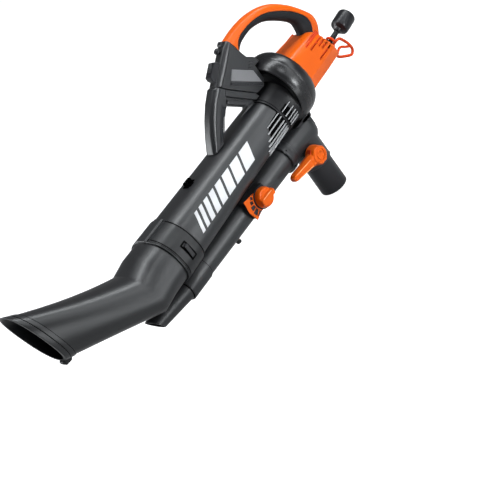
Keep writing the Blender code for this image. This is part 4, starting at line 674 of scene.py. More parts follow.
def tube_station(x):
    """Middle height, half width and half height of the suction tube's outside at x."""
    t = (x - TUBE_REAR_X) / (TUBE_FRONT_X - TUBE_REAR_X)
    return (
        share(TUBE_REAR_Z, TUBE_FRONT_Z, t),
        share(TUBE_REAR_HALF_WIDTH, TUBE_FRONT_HALF_WIDTH, t),
        share(TUBE_REAR_HALF_HEIGHT, TUBE_FRONT_HALF_HEIGHT, t),
    )


def tube_top(x):
    z, _, half_height = tube_station(x)
    return z + half_height


def tube_ring(x, grow):
    z, half_width, half_height = tube_station(x)
    return oval_ring(x, z, half_width + grow, half_height + grow, OVAL_POWER, OVAL_SPREAD)


def tube_band(profile):
    """A band round the suction tube, from a closed (x, height over its outside) outline."""
    return looped([tube_ring(x, grow) for x, grow in profile])


def tube_point(x, degrees, grow):
    """A point on the suction tube's outside; 180 degrees is its left side and 90 its top."""
    z, half_width, half_height = tube_station(x)
    angle = math.radians(degrees)
    return oval_point(x, z, half_width + grow, half_height + grow, angle, OVAL_POWER, OVAL_SPREAD)


def creased_ring(x, grow, depth):
    """The tube's section with its underside stepped in below the crease on each side."""
    full = 2.0 * 270.0
    left = [LEFT_ANGLE + 3.75 * i for i in range(13)]
    left += [CREASE_ANGLE - CREASE_HALF_WIDTH, CREASE_ANGLE + CREASE_HALF_WIDTH]
    left += [CREASE_ANGLE + 3.5 + 4.0 * i for i in range(9)]
    right = [full - angle for angle in reversed(left)]
    upper = [3.75 * i for i in range(1, 48)]
    ring = []
    for degrees in upper + left + [full / 2.0] + right:
        under = CREASE_ANGLE < degrees < full - CREASE_ANGLE
        ring.append(tube_point(x, degrees, grow - (depth if under else 0.0)))
    return ring


def tube_patch(starts, ends, low_grow, high_grow, steps=10):
    """A thin pad on the tube between two edges, each from one (x, degrees) point to another."""
    rings = []
    for k in range(steps + 1):
        (x0, a0), (x1, a1) = [[share(a, b, k / steps) for a, b in zip(*edge)] for edge in (starts, ends)]
        ring = [tube_point(x0, a0, low_grow), tube_point(x1, a1, low_grow)]
        ring += [tube_point(x1, a1, high_grow), tube_point(x0, a0, high_grow)]
        rings.append(ring)
    return lofted(rings)


def tube_rib(x0, x1, degrees, width, low_grow, high_grow):
    """A straight rib along the tube at one angle of its section."""
    half = math.degrees(width / 2.0 / TUBE_MEAN_RADIUS)
    corners = ((-half, low_grow), (half, low_grow), (half * 0.6, high_grow), (-half * 0.6, high_grow))
    return lofted([[tube_point(x, degrees + shift, grow) for shift, grow in corners] for x in (x0, x1)])


def make_suction_tube():
    sections = (TUBE_REAR_X, -260.0, -380.0, -500.0)
    outer = [creased_ring(x, 0.0, CREASE_DEPTH) for x in (*sections, LATCH_X + 18.0)]
    outer += [creased_ring(x, -LATCH_ROOM, CREASE_DEPTH) for x in (LATCH_X + 10.0, TUBE_FRONT_X)]
    inner = [creased_ring(x, -TUBE_WALL, 0.0) for x in (TUBE_FRONT_X, *reversed(sections))]
    piece(raw("tube_skin", looped(outer + inner)), CHARCOAL, "vacuum_tube", angle=24.0)


def make_silver_stripes():
    """Plain slanted stripes on the tube's left side, each shorter than the one before."""
    x = STRIPE_START_X
    shells = []
    for length in (38.0, 32.0, 27.0, 22.0, 18.0, 15.0, 12.0, 10.0):
        edges = []
        for top in (x, x - length):
            edges.append(((top, STRIPE_TOP_ANGLE), (top - STRIPE_SLANT, STRIPE_LOW_ANGLE)))
        shells.append(tube_patch(*edges, 0.02, 0.22))
        x -= length + STRIPE_GAP
    piece(raw("tube_stripes", *shells), PRINT, angle=50.0)


def make_collar():
    """Joining collar with the latch's window, and the broad ridge on its top; the collar carries painted
    shade, darker than the tube.
    """
    outline = offsets(COLLAR_REAR_X, COLLAR_TOP, ((0.0, -1.2), (-1.0, -0.2), (-2.4, 0.0)))
    outline += offsets(COLLAR_FRONT_X, COLLAR_TOP, (
        (5.0, 0.0), (4.2, -0.9), (3.4, -0.9), (2.6, 0.0), (0.9, -0.1), (0.0, -1.2)))
    outline += [(COLLAR_FRONT_X, FIT), (COLLAR_REAR_X, FIT)]
    collar = raw("collar_skin", tube_band(outline))
    z = tube_station(LATCH_X)[0]
    window = box_shell((LATCH_X - 5.2, -95.0, z - 16.2), (LATCH_X + 5.2, -50.0, z + 16.2))
    carve(collar, raw("latch_window", window))
    piece(collar, SHADED_CHARCOAL, "tube_collar", angle=28.0)
    ridge = []
    ends = offsets(COLLAR_REAR_X, 0.0, ((0.4, 1.0), (-2.0, 0.0)))
    ends += offsets(COLLAR_FRONT_X, 0.0, ((2.0, 0.0), (-0.4, 1.0)))
    for x, drop in ends:
        base = tube_top(x) + FIT + COLLAR_WALL * 0.4 - 1.0
        crest = tube_top(x) + FIT + COLLAR_WALL + 3.2 - drop
        ridge.append(keystone(x, base, 15.0, crest, 12.5))
    piece(raw("collar_ridge", lofted(ridge)), CHARCOAL, bevel=1.0)


def make_collar_lines():
    """Dark lines on the collar: black lines beside the ridge, and painted shadow round both ends and round
    the latch.
    """
    lines = []
    for degrees in (104.5, 75.5):
        lines.append(tube_rib(
            COLLAR_REAR_X - 1.5, COLLAR_FRONT_X + 6.0, degrees, 2.2, COLLAR_TOP - 0.5, COLLAR_TOP + 0.9))
    piece(raw("collar_lines", *lines), BLACK, angle=50.0)
    seams = []
    for middle in (COLLAR_REAR_X - 4.0, COLLAR_FRONT_X + 8.0):
        seams.append(tube_band(strip(middle - 1.2, middle + 1.2, COLLAR_TOP - 0.6, COLLAR_TOP + 0.12)))
    piece(raw("collar_seams", *seams), PAINTED_SHADOW, angle=40.0)
    inner_x, outer_x = 5.1, 9.2
    inner_a, outer_a = 12.8, 15.8
    border = []
    for x0, x1, high, low in (
            (outer_x, inner_x, -outer_a, outer_a), (-inner_x, -outer_x, -outer_a, outer_a),
            (inner_x, -inner_x, -outer_a, -inner_a), (inner_x, -inner_x, inner_a, outer_a)):
        edges = [offsets(LATCH_X, LEFT_ANGLE, ((x, high), (x, low))) for x in (x0, x1)]
        border.append(tube_patch(*edges, COLLAR_TOP - 0.5, COLLAR_TOP + 0.15))
    piece(raw("latch_border", *border), PAINTED_SHADOW, angle=40.0)


def nozzle_station(t):
    """(x, z, half width, half height, lean) along the nozzle after its bend, t from 0 to 1."""
    rise = share(t * t, t, 0.86)
    return (
        share(NOZZLE_BEND_X, NOZZLE_MOUTH_X, t),
        share(NOZZLE_BEND_Z, NOZZLE_MOUTH_Z, rise),
        share(tube_station(NOZZLE_BEND_X)[1], NOZZLE_MOUTH_HALF_WIDTH, t),
        share(TUBE_FRONT_HALF_HEIGHT, NOZZLE_MOUTH_HALF_HEIGHT, t * t),
        share(0.0, NOZZLE_MOUTH_LEAN, t),
    )


def nozzle_ring(station, grow):
    """A section of the nozzle; the tube's spread fades out within 200 mm of the bend."""
    x, z, half_width, half_height, lean = station
    spread = share(OVAL_SPREAD, 0.0, min(1.0, max(0.0, (NOZZLE_BEND_X - x) / 200.0)))
    return oval_ring(x, z, half_width + grow, half_height + grow, OVAL_POWER, spread, lean)


def lip_band(profile):
    """A band round the nozzle's lip, from a closed (share of the lip, height) outline."""
    return looped([nozzle_ring(nozzle_station(share(LIP_START, 1.0, t)), grow) for t, grow in profile])


def make_nozzle():
    stations = [(x, *tube_station(x), 0.0) for x in (TUBE_FRONT_X - FIT, COLLAR_FRONT_X, -690.0)]
    stations += [nozzle_station(t) for t in (0.0, 0.03, 0.07, 0.12, 0.2, 0.3, 0.42, 0.55, 0.7, 0.85, 1.0)]
    outer = [nozzle_ring(stations[0], -LATCH_ROOM)] + [nozzle_ring(s, 0.0) for s in stations[1:]]
    inner = [nozzle_ring(s, -TUBE_WALL) for s in reversed(stations)]
    piece(raw("nozzle_skin", looped(outer + inner)), CHARCOAL, "nozzle", angle=40.0)
    outline = (
        (0.0, 1.3), (0.03, 2.1), (0.06, 2.4), (0.44, 2.5), (0.465, 1.5), (0.50, 1.5),
        (0.525, 2.6), (0.92, 2.9), (0.98, 2.6), (1.0, 1.9), (1.0, 0.6), (0.0, 0.6))
    piece(raw("lip_band", lip_band(outline)), CHARCOAL, "nozzle_lip", angle=28.0)
    # The lip's grooves are darkened with painted shadow.
    grooves = [lip_band(strip(start, end, 0.8, 1.9)) for start, end in ((-0.02, 0.045), (0.46, 0.51))]
    piece(raw("lip_grooves", *grooves), PAINTED_SHADOW, angle=40.0)


def make_nozzle_foot():
    """Wedge under the mouth that the nozzle rests on."""
    x, z, _, half_height, lean = nozzle_station(0.955)
    low_x = x - half_height * math.sin(lean)
    low_z = z - half_height * math.cos(lean)
    foot = []
    for shift, half, drop in ((-15.0, 6.0, 3.0), (-10.0, 10.0, 10.5), (6.0, 11.0, 11.5), (18.0, 7.0, 3.0)):
        foot.append(keystone(low_x + shift, low_z + 2.0, half, low_z - drop, half * 0.7))
    piece(raw("nozzle_foot", lofted(foot)), BLACK, bevel=1.2, segments=3)


def make_louvres():
    """Intake fields in near-black painted shadow between raised slats painted pale as highlights, on the
    tube and on the neck, on both sides.
    """
    rear = NECK_FRONT_X - 0.8
    neck = NECK_FRONT_X + 7.0
    field = tube_patch(((rear, 166.0), (rear, 218.0)), ((-232.0, 168.0), (-276.0, 218.0)), 0.15, 0.9, 16)
    slats = []
    for degrees, front in (
            (170.0, -238.0), (178.5, -248.0), (187.0, -260.0), (195.5, -268.0), (204.0, -275.0),
            (213.0, -275.0)):
        slats.append(tube_rib(rear, front, degrees, 1.9, 0.4, 3.7))
    slats.append(tube_rib(rear, -276.0, 219.0, 2.2, 0.2, 2.8))
    shade = tube_patch(((neck, 169.0), (neck, 213.0)), ((-157.0, 169.0), (-157.0, 213.0)), 4.5, 5.65, 12)
    neck_slats = [tube_rib(neck, -146.0, 174.0 + 8.5 * i, 2.0, 3.6, 7.6) for i in range(5)]
    for name, side in SIDES:
        for part, material, shells, nodes in (
                ("field", PAINTED_SHADOW, [field], [f"louvre_panel_{name}"]), ("slats", HIGHLIGHT_SLAT, slats, []),
                ("neck_field", PAINTED_SHADOW, [shade], []), ("neck_slats", HIGHLIGHT_SLAT, neck_slats, [])):
            handed = shells if side < 0.0 else [mirrored(shell) for shell in shells]
            piece(raw(f"louvre_{part}_{name}", *handed), material, *nodes, angle=30.0)


def blow_share(x):
    return (x - BLOW_REAR_X) / (BLOW_FRONT_X - BLOW_REAR_X)


def blow_radius(x):
    return share(BLOW_REAR_RADIUS, BLOW_FRONT_RADIUS, blow_share(x))


def blow_z(x):
    return share(BLOW_REAR_Z, BLOW_FRONT_Z, blow_share(x))


def blow_ring(x, grow):
    return round_ring(x, blow_z(x), blow_radius(x) + grow)


def blow_band(profile):
    """A band round the blower tube, from a closed (x, height over its outside) outline."""
    return looped([blow_ring(x, grow) for x, grow in profile])


def make_blower_tube():
    """Blower tube with the lug and the moulding seam under it, and its coupling."""
    outside = [(x, 0.0) for x in (BLOW_REAR_X, -400.0, BLOW_FRONT_X)]
    skin = blow_band(outside + [(BLOW_FRONT_X, -BLOW_WALL), (BLOW_REAR_X, -BLOW_WALL)])
    low = blow_z(LUG_X) - blow_radius(LUG_X)
    lug = bar_shell((LUG_X, LUG_Y, low + 4.0), (LUG_X, LUG_Y, low - 4.0), 6.0, 5.0)
    knob = bar_shell((LUG_X, LUG_Y, low - 3.0), (LUG_X, LUG_Y, low - 7.0), 7.0, 6.2)
    seam = []
    for x in (-235.0, -560.0):
        under = blow_z(x) - blow_radius(x)
        seam.append(keystone(x, under + 0.5, 0.9, under - 0.7, 0.6))
    piece(raw("blow_skin", skin, lug, knob, lofted(seam)), CHARCOAL, "blower_tube", angle=35.0)
    wall = FIT + BLOW_WALL
    outline = offsets(COUPLING_REAR_X, wall, ((0.0, -1.0), (-1.2, 0.0)))
    outline += offsets(COUPLING_FRONT_X, wall, ((1.5, 0.5), (0.0, -0.4)))
    outline += [(COUPLING_FRONT_X, FIT), (COUPLING_REAR_X, FIT)]
    piece(raw("coupling_skin", blow_band(outline)), CHARCOAL, "blower_coupling")
    # Painted shadow in the seams at both ends of the coupling.
    seams = []
    for middle in (COUPLING_REAR_X + 1.1, COUPLING_FRONT_X - 1.1):
        seams.append(blow_band(strip(middle - 1.0, middle + 1.0, -0.6, 0.35)))
    piece(raw("coupling_seams", *seams), PAINTED_SHADOW, angle=40.0)


def make_blower_tip():
    start = BLOW_FRONT_X - FIT
    neck = blow_radius(COUPLING_FRONT_X)
    neck_z = blow_z(COUPLING_FRONT_X)
    stations = (
        (start, blow_z(start), blow_radius(start), 0.0),
        (COUPLING_FRONT_X, neck_z, neck, 0.0),
        (COUPLING_FRONT_X - 3.0, neck_z, neck - 0.6, 0.0),
        (COUPLING_FRONT_X - 7.0, neck_z, neck - 2.0, 0.0),
        (TIP_END_X + 4.0, TIP_END_Z, TIP_END_RADIUS + 0.1, TIP_END_LEAN * 0.97),
        (TIP_END_X, TIP_END_Z, TIP_END_RADIUS - 0.4, TIP_END_LEAN),
    )
    outer = [round_ring(x, z, radius, lean) for x, z, radius, lean in stations]
    inner = [round_ring(x, z, radius - BLOW_WALL, lean) for x, z, radius, lean in reversed(stations)]
    piece(raw("tip_skin", looped(outer + inner)), CHARCOAL, "blower_tip")


def make_fan_case():
    """Both halves of the case, the stepped face inside its rim, and the neck that takes the tube; the face
    and the neck carry painted shade.
    """
    front = offsets(FAN_FRONT_X, FAN_RADIUS, (
        (5.0, -10.6), (0.6, -10.0), (-1.2, -8.8), (-1.6, -7.8), (-0.8, -6.8), (2.0, -6.0), (5.0, -4.6),
        (9.0, -2.6), (14.0, -1.3), (20.0, -0.4), (26.0, 0.0)))
    front += offsets(FAN_SPLIT_X, FAN_RADIUS, ((-1.0, 0.0), (-HALF_SPLIT, -0.2), (-HALF_SPLIT, -5.0)))
    front += offsets(FAN_FRONT_X, FAN_RADIUS, ((8.0, -6.0), (8.0, -10.6)))
    face = offsets(FAN_FRONT_X, 0.0, (
        (3.0, 40.0), (3.0, 66.0), (1.6, 67.4), (-0.8, 68.2), (-1.2, 69.4), (-0.8, 70.6), (3.0, 71.6),
        (5.0, 73.0), (5.5, 80.6), (8.0, 80.8), (7.0, 40.0)))
    rear = offsets(FAN_SPLIT_X, FAN_RADIUS, ((HALF_SPLIT, -0.2), (1.0, 0.0)))
    rear += offsets(FAN_REAR_X, FAN_RADIUS, (
        (-34.0, -0.2), (-28.0, -1.0), (-21.0, -2.8), (-15.0, -5.6), (-10.0, -9.6), (-6.5, -14.6),
        (-4.0, -20.0), (-2.4, -20.6), (-1.6, -22.0), (-1.0, -27.0), (0.0, -30.0)))
    rear += [(FAN_REAR_X, FAN_HOLE_RADIUS), (FAN_REAR_X - 11.0, FAN_HOLE_RADIUS)]
    rear += offsets(FAN_REAR_X, FAN_RADIUS, ((-11.0, -18.0), (-27.0, -5.0)))
    rear.append((FAN_SPLIT_X + HALF_SPLIT, FAN_RADIUS - 5.0))
    neck = offsets(NECK_FRONT_X, FIT, (
        (0.0, 2.4), (0.7, 4.0), (3.6, 4.2), (4.2, 3.0), (5.4, 3.0), (6.0, 4.6), (9.0, 5.0), (30.0, 5.0),
        (48.0, 6.5)))
    neck += [(FAN_FRONT_X + 4.0, FIT + 11.0), (FAN_FRONT_X + 4.0, -TUBE_WALL)]
    neck += [(TUBE_REAR_X + FIT, -TUBE_WALL), (TUBE_REAR_X + FIT, FIT), (NECK_FRONT_X, FIT)]
    piece(raw("fan_case_front", turned_x(front)), CASE, "fan_housing_front", angle=38.0)
    piece(raw("fan_case_face", turned_x(face)), SHADED_BLACK, angle=38.0)
    piece(raw("fan_case_neck", tube_band(neck)), SHADED_BLACK, angle=38.0)
    piece(raw("fan_case_rear", turned_x(rear)), CASE, "fan_housing_rear", angle=38.0)


def motor_stations():
    """(x, z, half width, half height, lean) of the motor cover, front to rear."""
    z = AXIS_Z - 5.0
    rear = MOTOR_REAR_X
    stations = []
    for x, wide, high, lean in (
            (FAN_REAR_X + FIT, 3.0, 3.0, 0.0),
            (-48.0, 1.2, 1.2, math.radians(-2.0)),
            (-30.0, 0.0, 0.0, math.radians(-5.0)),
            (16.0, -1.6, -0.8, math.radians(-13.0)),
            (rear - 8.0, -4.0, -2.0, MOTOR_REAR_LEAN),
            (rear - 4.5, -5.0, -3.0, MOTOR_REAR_LEAN),
            (rear - 1.6, -7.2, -5.2, MOTOR_REAR_LEAN),
            (rear, -10.0, -8.0, MOTOR_REAR_LEAN)):
        stations.append((x, z, MOTOR_HALF_WIDTH + wide, MOTOR_HALF_HEIGHT + high, lean))
    return stations


def motor_ring(station, grow, shift=0.0):
    """The cover's section, with a flat facet on each lower corner."""
    x, z, half_width, half_height, lean = station
    ring = []
    for px, y, pz in oval_ring(x, z, half_width + grow, half_height + grow, MOTOR_POWER, 0.0, lean):
        reach = (FACET_ACROSS * abs(y) - FACET_DOWN * (pz - z)) / (FACET_REACH * (half_width + grow))
        if reach > 1.0:
            px, y, pz = share(x, px, 1.0 / reach), y / reach, share(z, pz, 1.0 / reach)
        ring.append((px + shift, y, pz))
    return ring


def motor_solid(name, grow):
    return raw(name, lofted([motor_ring(s, grow) for s in motor_stations()]))


def cord_point(x):
    return (x, 0.0, CORD_EXIT_Z + (x - MOTOR_REAR_X) * math.sin(CORD_TILT))


def cover_hollow():
    """The space inside the motor cover, open at its front."""
    stations = motor_stations()
    rings = [motor_ring(stations[0], -MOTOR_WALL, -1.0)]
    rings += [motor_ring(s, -MOTOR_WALL) for s in stations[:-3]]
    rings.append(motor_ring(stations[-1], -MOTOR_WALL, -MOTOR_WALL))
    return raw("hollow", lofted(rings))


def make_motor_cover():
    """Both halves of the cover with their cooling slots, and the floor seen behind the slots, painted dark
    red as their shade.
    """
    for name, side in SIDES:
        cover = motor_solid(f"motor_shell_{name}", 0.0)
        cutters = [cover_hollow()]
        for rise, length in ((34.0, 53.0), (21.0, 53.0), (10.5, 30.0), (0.0, 29.0), (-13.0, 59.0)):
            z = AXIS_Z + rise
            rear = MOTOR_REAR_X + (z - AXIS_Z) * math.tan(MOTOR_REAR_LEAN)
            slot = side_box(side, 36.0, 70.0, (rear - 4.0 - length, z - 2.6), (rear + 20.0, z + 2.6))
            cutters.append(raw("slot", slot))
        cutters.append(raw("cord_hole", bar_shell(cord_point(50.0), cord_point(140.0), 6.8)))
        carve(cover, *cutters)
        half = raw("half", side_box(side, HALF_SPLIT, 300.0, (-500.0, -500.0), (300.0, 200.0)))
        carve(cover, half, operation="INTERSECT")
        piece(cover, ORANGE, f"motor_cover_{name}", angle=17.0)
        floor = side_box(side, 38.0, 43.0, (-8.0, AXIS_Z - 18.0), (52.0, AXIS_Z + 40.0))
        piece(raw(f"vent_floor_{name}", floor), ORANGE_SHADE, bevel=0.5)


# Matching (x, z) points of the handle's outer and inner line, from its front to its rear
HANDLE_PAIRS = (
    ((-153.0, 43.0), (-142.0, -3.0)),
    ((-115.0, 46.5), (-122.0, 9.5)),
    ((-76.0, 45.5), (-86.0, 13.5)),
    ((-39.0, 39.0), (-58.0, 9.0)),
    ((-7.0, 27.5), (-32.0, -1.0)),
    ((22.0, 9.5), (-6.0, -18.5)),
    ((56.0, -23.5), (22.0, -43.5)),
    ((84.0, -62.0), (38.0, -64.0)),
    ((97.5, -88.0), (38.0, -82.0)),
    ((95.0, -112.0), (34.0, -96.0)),
    ((80.0, -134.0), (24.0, -110.0)),
)


def handle_stations():
    """Middle, half depth and seam along the handle; the seam drops at its front and rises behind."""
    outer, inner = [smooth_line(line) for line in zip(*HANDLE_PAIRS)]
    stations = []
    for i, (a, b) in enumerate(zip(outer, inner)):
        t = i / (len(outer) - 1)
        seam = GRIP_SEAM
        if t < 0.12:
            seam -= 0.72 * (1.0 - t / 0.12) ** 2
        if 0.5 < t < 0.9:
            seam += 0.16 * math.sin(math.pi * (t - 0.5) / 0.4)
        stations.append(((a + b) / 2.0, (a - b) / 2.0, seam))
    return stations


def grip_width(q):
    return GRIP_HALF_WIDTH * (1.0 - abs(q) ** GRIP_POWER) ** (1.0 / GRIP_POWER)


def handle_section(station, points):
    """A section from (q, y) points; q is -1 on the handle's inner line and 1 on its outer line."""
    middle, half, _ = station
    ring = []
    for q, y in points:
        place = middle + half * q
        ring.append((place.x, y, place.y))
    return ring


def shell_section(station, side, count=20):
    """The orange half above the seam, with a small groove where it meets the grip."""
    seam = station[2]
    points = []
    for i in range(count + 1):
        q = share(SHELL_TOP, seam + 0.03, math.sin(math.pi * i / count / 2.0))
        points.append((q, side * max(grip_width(q), HALF_SPLIT + 0.3)))
    for q, keep in ((seam + 0.005, 0.975), (seam, 0.93)):
        points.append((q, side * grip_width(q) * keep))
    points += [(q, side * HALF_SPLIT) for q in (seam, SHELL_TOP)]
    return handle_section(station, points)


def grip_section(station, count=26):
    """The soft insert below the seam."""
    high = station[2] - 0.02
    left = [(q, -grip_width(q) * keep) for q, keep in ((high, 0.93), (high - 0.006, 0.97))]
    for i in range(count + 1):
        q = share(high - 0.03, -0.9995, math.sin(math.pi * i / count / 2.0))
        left.append((q, -grip_width(q)))
    return handle_section(station, left + [(q, -y) for q, y in reversed(left)])


def make_handle():
    stations = handle_stations()
    for name, side in SIDES:
        shell = raw(f"handle_skin_{name}", lofted([shell_section(s, side) for s in stations]))
        carve(shell, motor_solid("foot", FIT))
        piece(shell, ORANGE, f"handle_shell_{name}", angle=40.0)
    insert = raw("grip_skin", lofted([grip_section(s) for s in stations]))
    carve(insert, motor_solid("foot", FIT))
    piece(insert, RUBBER, "grip_insert", angle=40.0)


def nosed_rings(outline, side):
    """One side of a plate from its nose to its face, with points (x, z, dx, dz).

    A point moves by dx, dz as the plate's front edge rolls back along an arc, and
    the others are drawn in at the face.
    """
    rings = []
    for i in range(NOSE_STEPS + 1):
        turn = math.pi * (i / NOSE_STEPS) / 2.0
        part = 1.0 - math.cos(turn)
        y = NOSE_HALF_WIDTH + (HOUSING_HALF_WIDTH - NOSE_HALF_WIDTH) * math.sin(turn)
        if i == NOSE_STEPS:
            y = HOUSING_HALF_WIDTH - HOUSING_EDGE
        rings.append([(x + dx * part, side * y, z + dz * part) for x, z, dx, dz in outline])
    drawn = inset([(x, z) for x, z, _, _ in outline], HOUSING_EDGE)
    rim = []
    for (x, z, dx, dz), inner in zip(outline, drawn):
        if not dx and not dz:
            x, z = inner
        rim.append((x + dx * part, side * HOUSING_HALF_WIDTH, z + dz * part))
    return rings + [rim]


HOUSING_OUTLINE = (
    (-153.6, 43.5, 1.4, -8.0),
    (-170.0, 38.5, 7.0, -11.0),
    (-195.0, 24.0, 9.0, -12.0),
    (-225.0, 7.0, 10.0, -12.0),
    (-253.0, -9.0, 12.0, -10.0),
    (-236.5, -30.0, 0.0, 0.0),
    (-172.0, -98.0, 0.0, 0.0),
    (-146.0, -100.0, 0.0, 0.0),
    (-132.3, -88.0, 0.0, 0.0),
    (-132.3, -49.4, 0.0, 0.0),
    (-114.0, -49.4, 0.0, 0.0),
    (-122.0, -32.0, 0.0, 0.0),
    (-138.0, -18.0, 0.0, 0.0),
    (-142.6, -3.4, 0.0, 0.0),
)


def make_front_housing():
    for name, side in SIDES:
        rings = [[(x, side * HALF_SPLIT, z) for x, z, _, _ in HOUSING_OUTLINE]]
        rings += nosed_rings(HOUSING_OUTLINE, side)
        if side < 0.0:
            rings.reverse()
        housing = raw(f"housing_skin_{name}", lofted(rings))
        piece(housing, CHARCOAL, f"front_housing_{name}", bevel=2.4, angle=30.0)


def make_bracket():
    """Forked strut on the tube, with the web between its arms and the cheeks that hold the housing."""
    foot_z = tube_top(-345.0) + FIT
    neck_z = tube_top(NECK_FRONT_X) + FIT + 4.6
    strut = (
        (-262.0, -9.0, 12.0, -10.0),
        (-290.0, -28.0, 9.0, -10.0),
        (-317.0, -52.0, 9.0, -9.0),
        (-343.0, -80.0, 10.0, -8.0),
        (-364.0, foot_z + 6.0, 9.0, -3.0),
        (-366.0, foot_z + 0.6, 8.0, 0.0),
        (-332.0, foot_z + 0.6, 0.0, 0.0),
        (-312.0, -95.0, 0.0, 0.0),
        (-288.0, -73.0, 0.0, 0.0),
        (-264.0, -60.0, 0.0, 0.0),
        (-248.0, -42.0, 0.0, 0.0),
        (-236.9, -30.4, 0.0, 0.0),
        (-253.3, -9.4, 6.0, -10.0),
    )
    web = (
        (-262.0, -57.0), (-238.0, -31.0), (-172.8, -98.6), (-171.8, neck_z), (NECK_FRONT_X, neck_z),
        (-212.0, neck_z + 3.0))
    upper = (
        (-250.0, -41.0), (-240.0, -30.0), (-176.0, -95.5), (-172.6, neck_z + 1.0), (-186.0, neck_z + 1.0),
        (-195.0, -98.5))
    lower = ((-257.5, -58.0), (-250.5, -51.0), (-206.0, -95.0), (-216.0, -98.5))
    rings = list(reversed(nosed_rings(strut, -1.0))) + nosed_rings(strut, 1.0)
    shells = [lofted(rings), plate_shell(web, (-9.0, 0.0), (9.0, 0.0))]
    for _, side in SIDES:
        shells.append(side_plate(upper, side, (8.0, 0.0), (17.8, 0.0), (19.2, 1.2)))
        shells.append(side_plate(lower, side, (8.0, 0.0), (14.8, 0.0), (16.0, 1.0)))
    piece(raw("bracket_skin", *shells), CHARCOAL, "handle_bracket", bevel=2.4, angle=30.0)


def make_strut_inlays():
    """Dark rims with soft inlays on both sides of the strut, and the gusset on the tube before it."""
    inlay = (
        (-272.0, -46.0), (-264.0, -57.0), (-287.5, -76.0), (-312.0, -99.0), (-330.0, -109.5),
        (-341.0, -109.0), (-318.0, -86.0), (-292.0, -62.0))
    face = HOUSING_HALF_WIDTH
    for name, side in SIDES:
        rim = raw(f"strut_rim_{name}", side_plate(inlay, side, (face - 0.4, 0.0), (face + 0.7, 0.3)))
        carve(rim, raw("pocket", side_plate(inset(inlay, 1.8), side, (face - 0.5, 0.0), (30.0, 0.0))))
        piece(rim, BLACK, angle=30.0)
        pad = side_plate(inset(inlay, 2.6), side, (face - 0.4, 0.0), (face + 0.3, 0.5))
        piece(raw(f"strut_inlay_{name}", pad), RUBBER, angle=30.0)
    gusset = []
    for x, half, rise in ((NECK_FRONT_X + 4.0, 10.0, 5.2), (-205.0, 7.0, 4.0), (-240.0, 0.8, 0.2)):
        gusset.append(keystone(x, tube_top(x) - 1.6, half, tube_top(x) + rise, half * 0.5))
    piece(raw("neck_gusset", lofted(gusset)), CHARCOAL, angle=30.0)


def make_side_panels():
    """Pale inset plates on both sides of the housing, a dark ledge under them and ribs behind."""
    outline = ((-193.0, -9.5), (-146.0, -52.5), (-144.5, -89.0), (-213.5, -27.0))
    ledge = ((-216.5, -28.5), (-145.5, -91.5), (-148.0, -96.5), (-220.5, -33.0))
    rib = ((-4.2, 3.4), (3.2, -3.4), (1.4, -5.0), (-6.0, 1.8))
    face = HOUSING_HALF_WIDTH
    for name, side in SIDES:
        panel = side_plate(outline, side, (face - 0.3, 0.0), (face + 1.2, 0.0), (face + 2.2, 1.3))
        piece(raw(f"panel_skin_{name}", panel), GREY, f"side_panel_{name}", angle=25.0)
        shelf = side_plate(ledge, side, (face - 0.3, 0.0), (face + 2.8, 0.6))
        piece(raw(f"panel_ledge_{name}", shelf), BLACK, angle=25.0)
        ribs = []
        for i in range(3):
            corners = offsets(-135.5 - 5.4 * i, -33.5 - 4.6 * i, rib)
            ribs.append(side_plate(corners, side, (face - 0.5, 0.0), (face + 1.6, 0.3)))
        piece(raw(f"case_clip_{name}", *ribs), BLACK, angle=25.0)


EDGE_START = Vector((-196.5, 23.6))
EDGE_END = Vector((-251.5, -8.4))
EDGE_ALONG = (EDGE_END - EDGE_START).normalized()
EDGE_OUT = Vector((EDGE_ALONG.y, -EDGE_ALONG.x))


def edge_point(along, out):
    """(x, z) from the distances along and out of the housing's front edge."""
    point = EDGE_START + EDGE_ALONG * along + EDGE_OUT * out
    return (point.x, point.y)


def make_edge_fittings():
    """Round stud and small block on the housing's front edge."""
    profile = (
        (-4.0, 4.0), (4.0, 4.0), (4.6, 6.4), (5.6, 7.3), (8.0, 7.6), (10.2, 6.9), (11.4, 5.2), (12.0, 2.6))
    x, z = edge_point(-18.0, 0.0)
    rings = spun(Vector((x, 0.0, z)), Vector((EDGE_OUT.x, 0.0, EDGE_OUT.y)), profile, 40)
    piece(raw("stud_skin", lofted(rings)), BLACK, "strap_stud", angle=40.0)
    corners = ((-45.0, -2.0), (-31.0, -2.0), (-31.0, 3.4), (-34.0, 6.0), (-43.0, 4.6))
    block = plate_shell([edge_point(along, out) for along, out in corners], (-7.0, 0.0), (7.0, 0.0))
    piece(raw("edge_block", block), BLACK, bevel=1.0)


def make_eyelet():
    """A rounded lug with a hole, on a low foot on top of the tube, both in the near-black painted-shadow
    material.
    """
    seat = tube_top(EYELET_X)
    box = box_shell((EYELET_X - 11.0, -5.0, seat - 0.5), (EYELET_X + 11.0, 5.0, seat + 11.0))
    lug = raw("eyelet_lug", box)
    carve(lug, raw("eyelet_hole", turned_y(((-9.0, 3.4), (9.0, 3.4)), EYELET_X, seat + 5.0)))
    piece(lug, PAINTED_SHADOW, "strap_eyelet", bevel=1.8, segments=3)
    plate = box_shell((EYELET_X - 14.0, -9.0, seat - 2.0), (EYELET_X + 14.0, 9.0, seat + 1.4))
    bead = bar_shell((EYELET_X - 8.0, -10.5, seat - 2.5), (EYELET_X + 6.0, -10.5, seat - 2.5), 3.2)
    piece(raw("eyelet_foot", plate, bead), PAINTED_SHADOW, bevel=0.7)


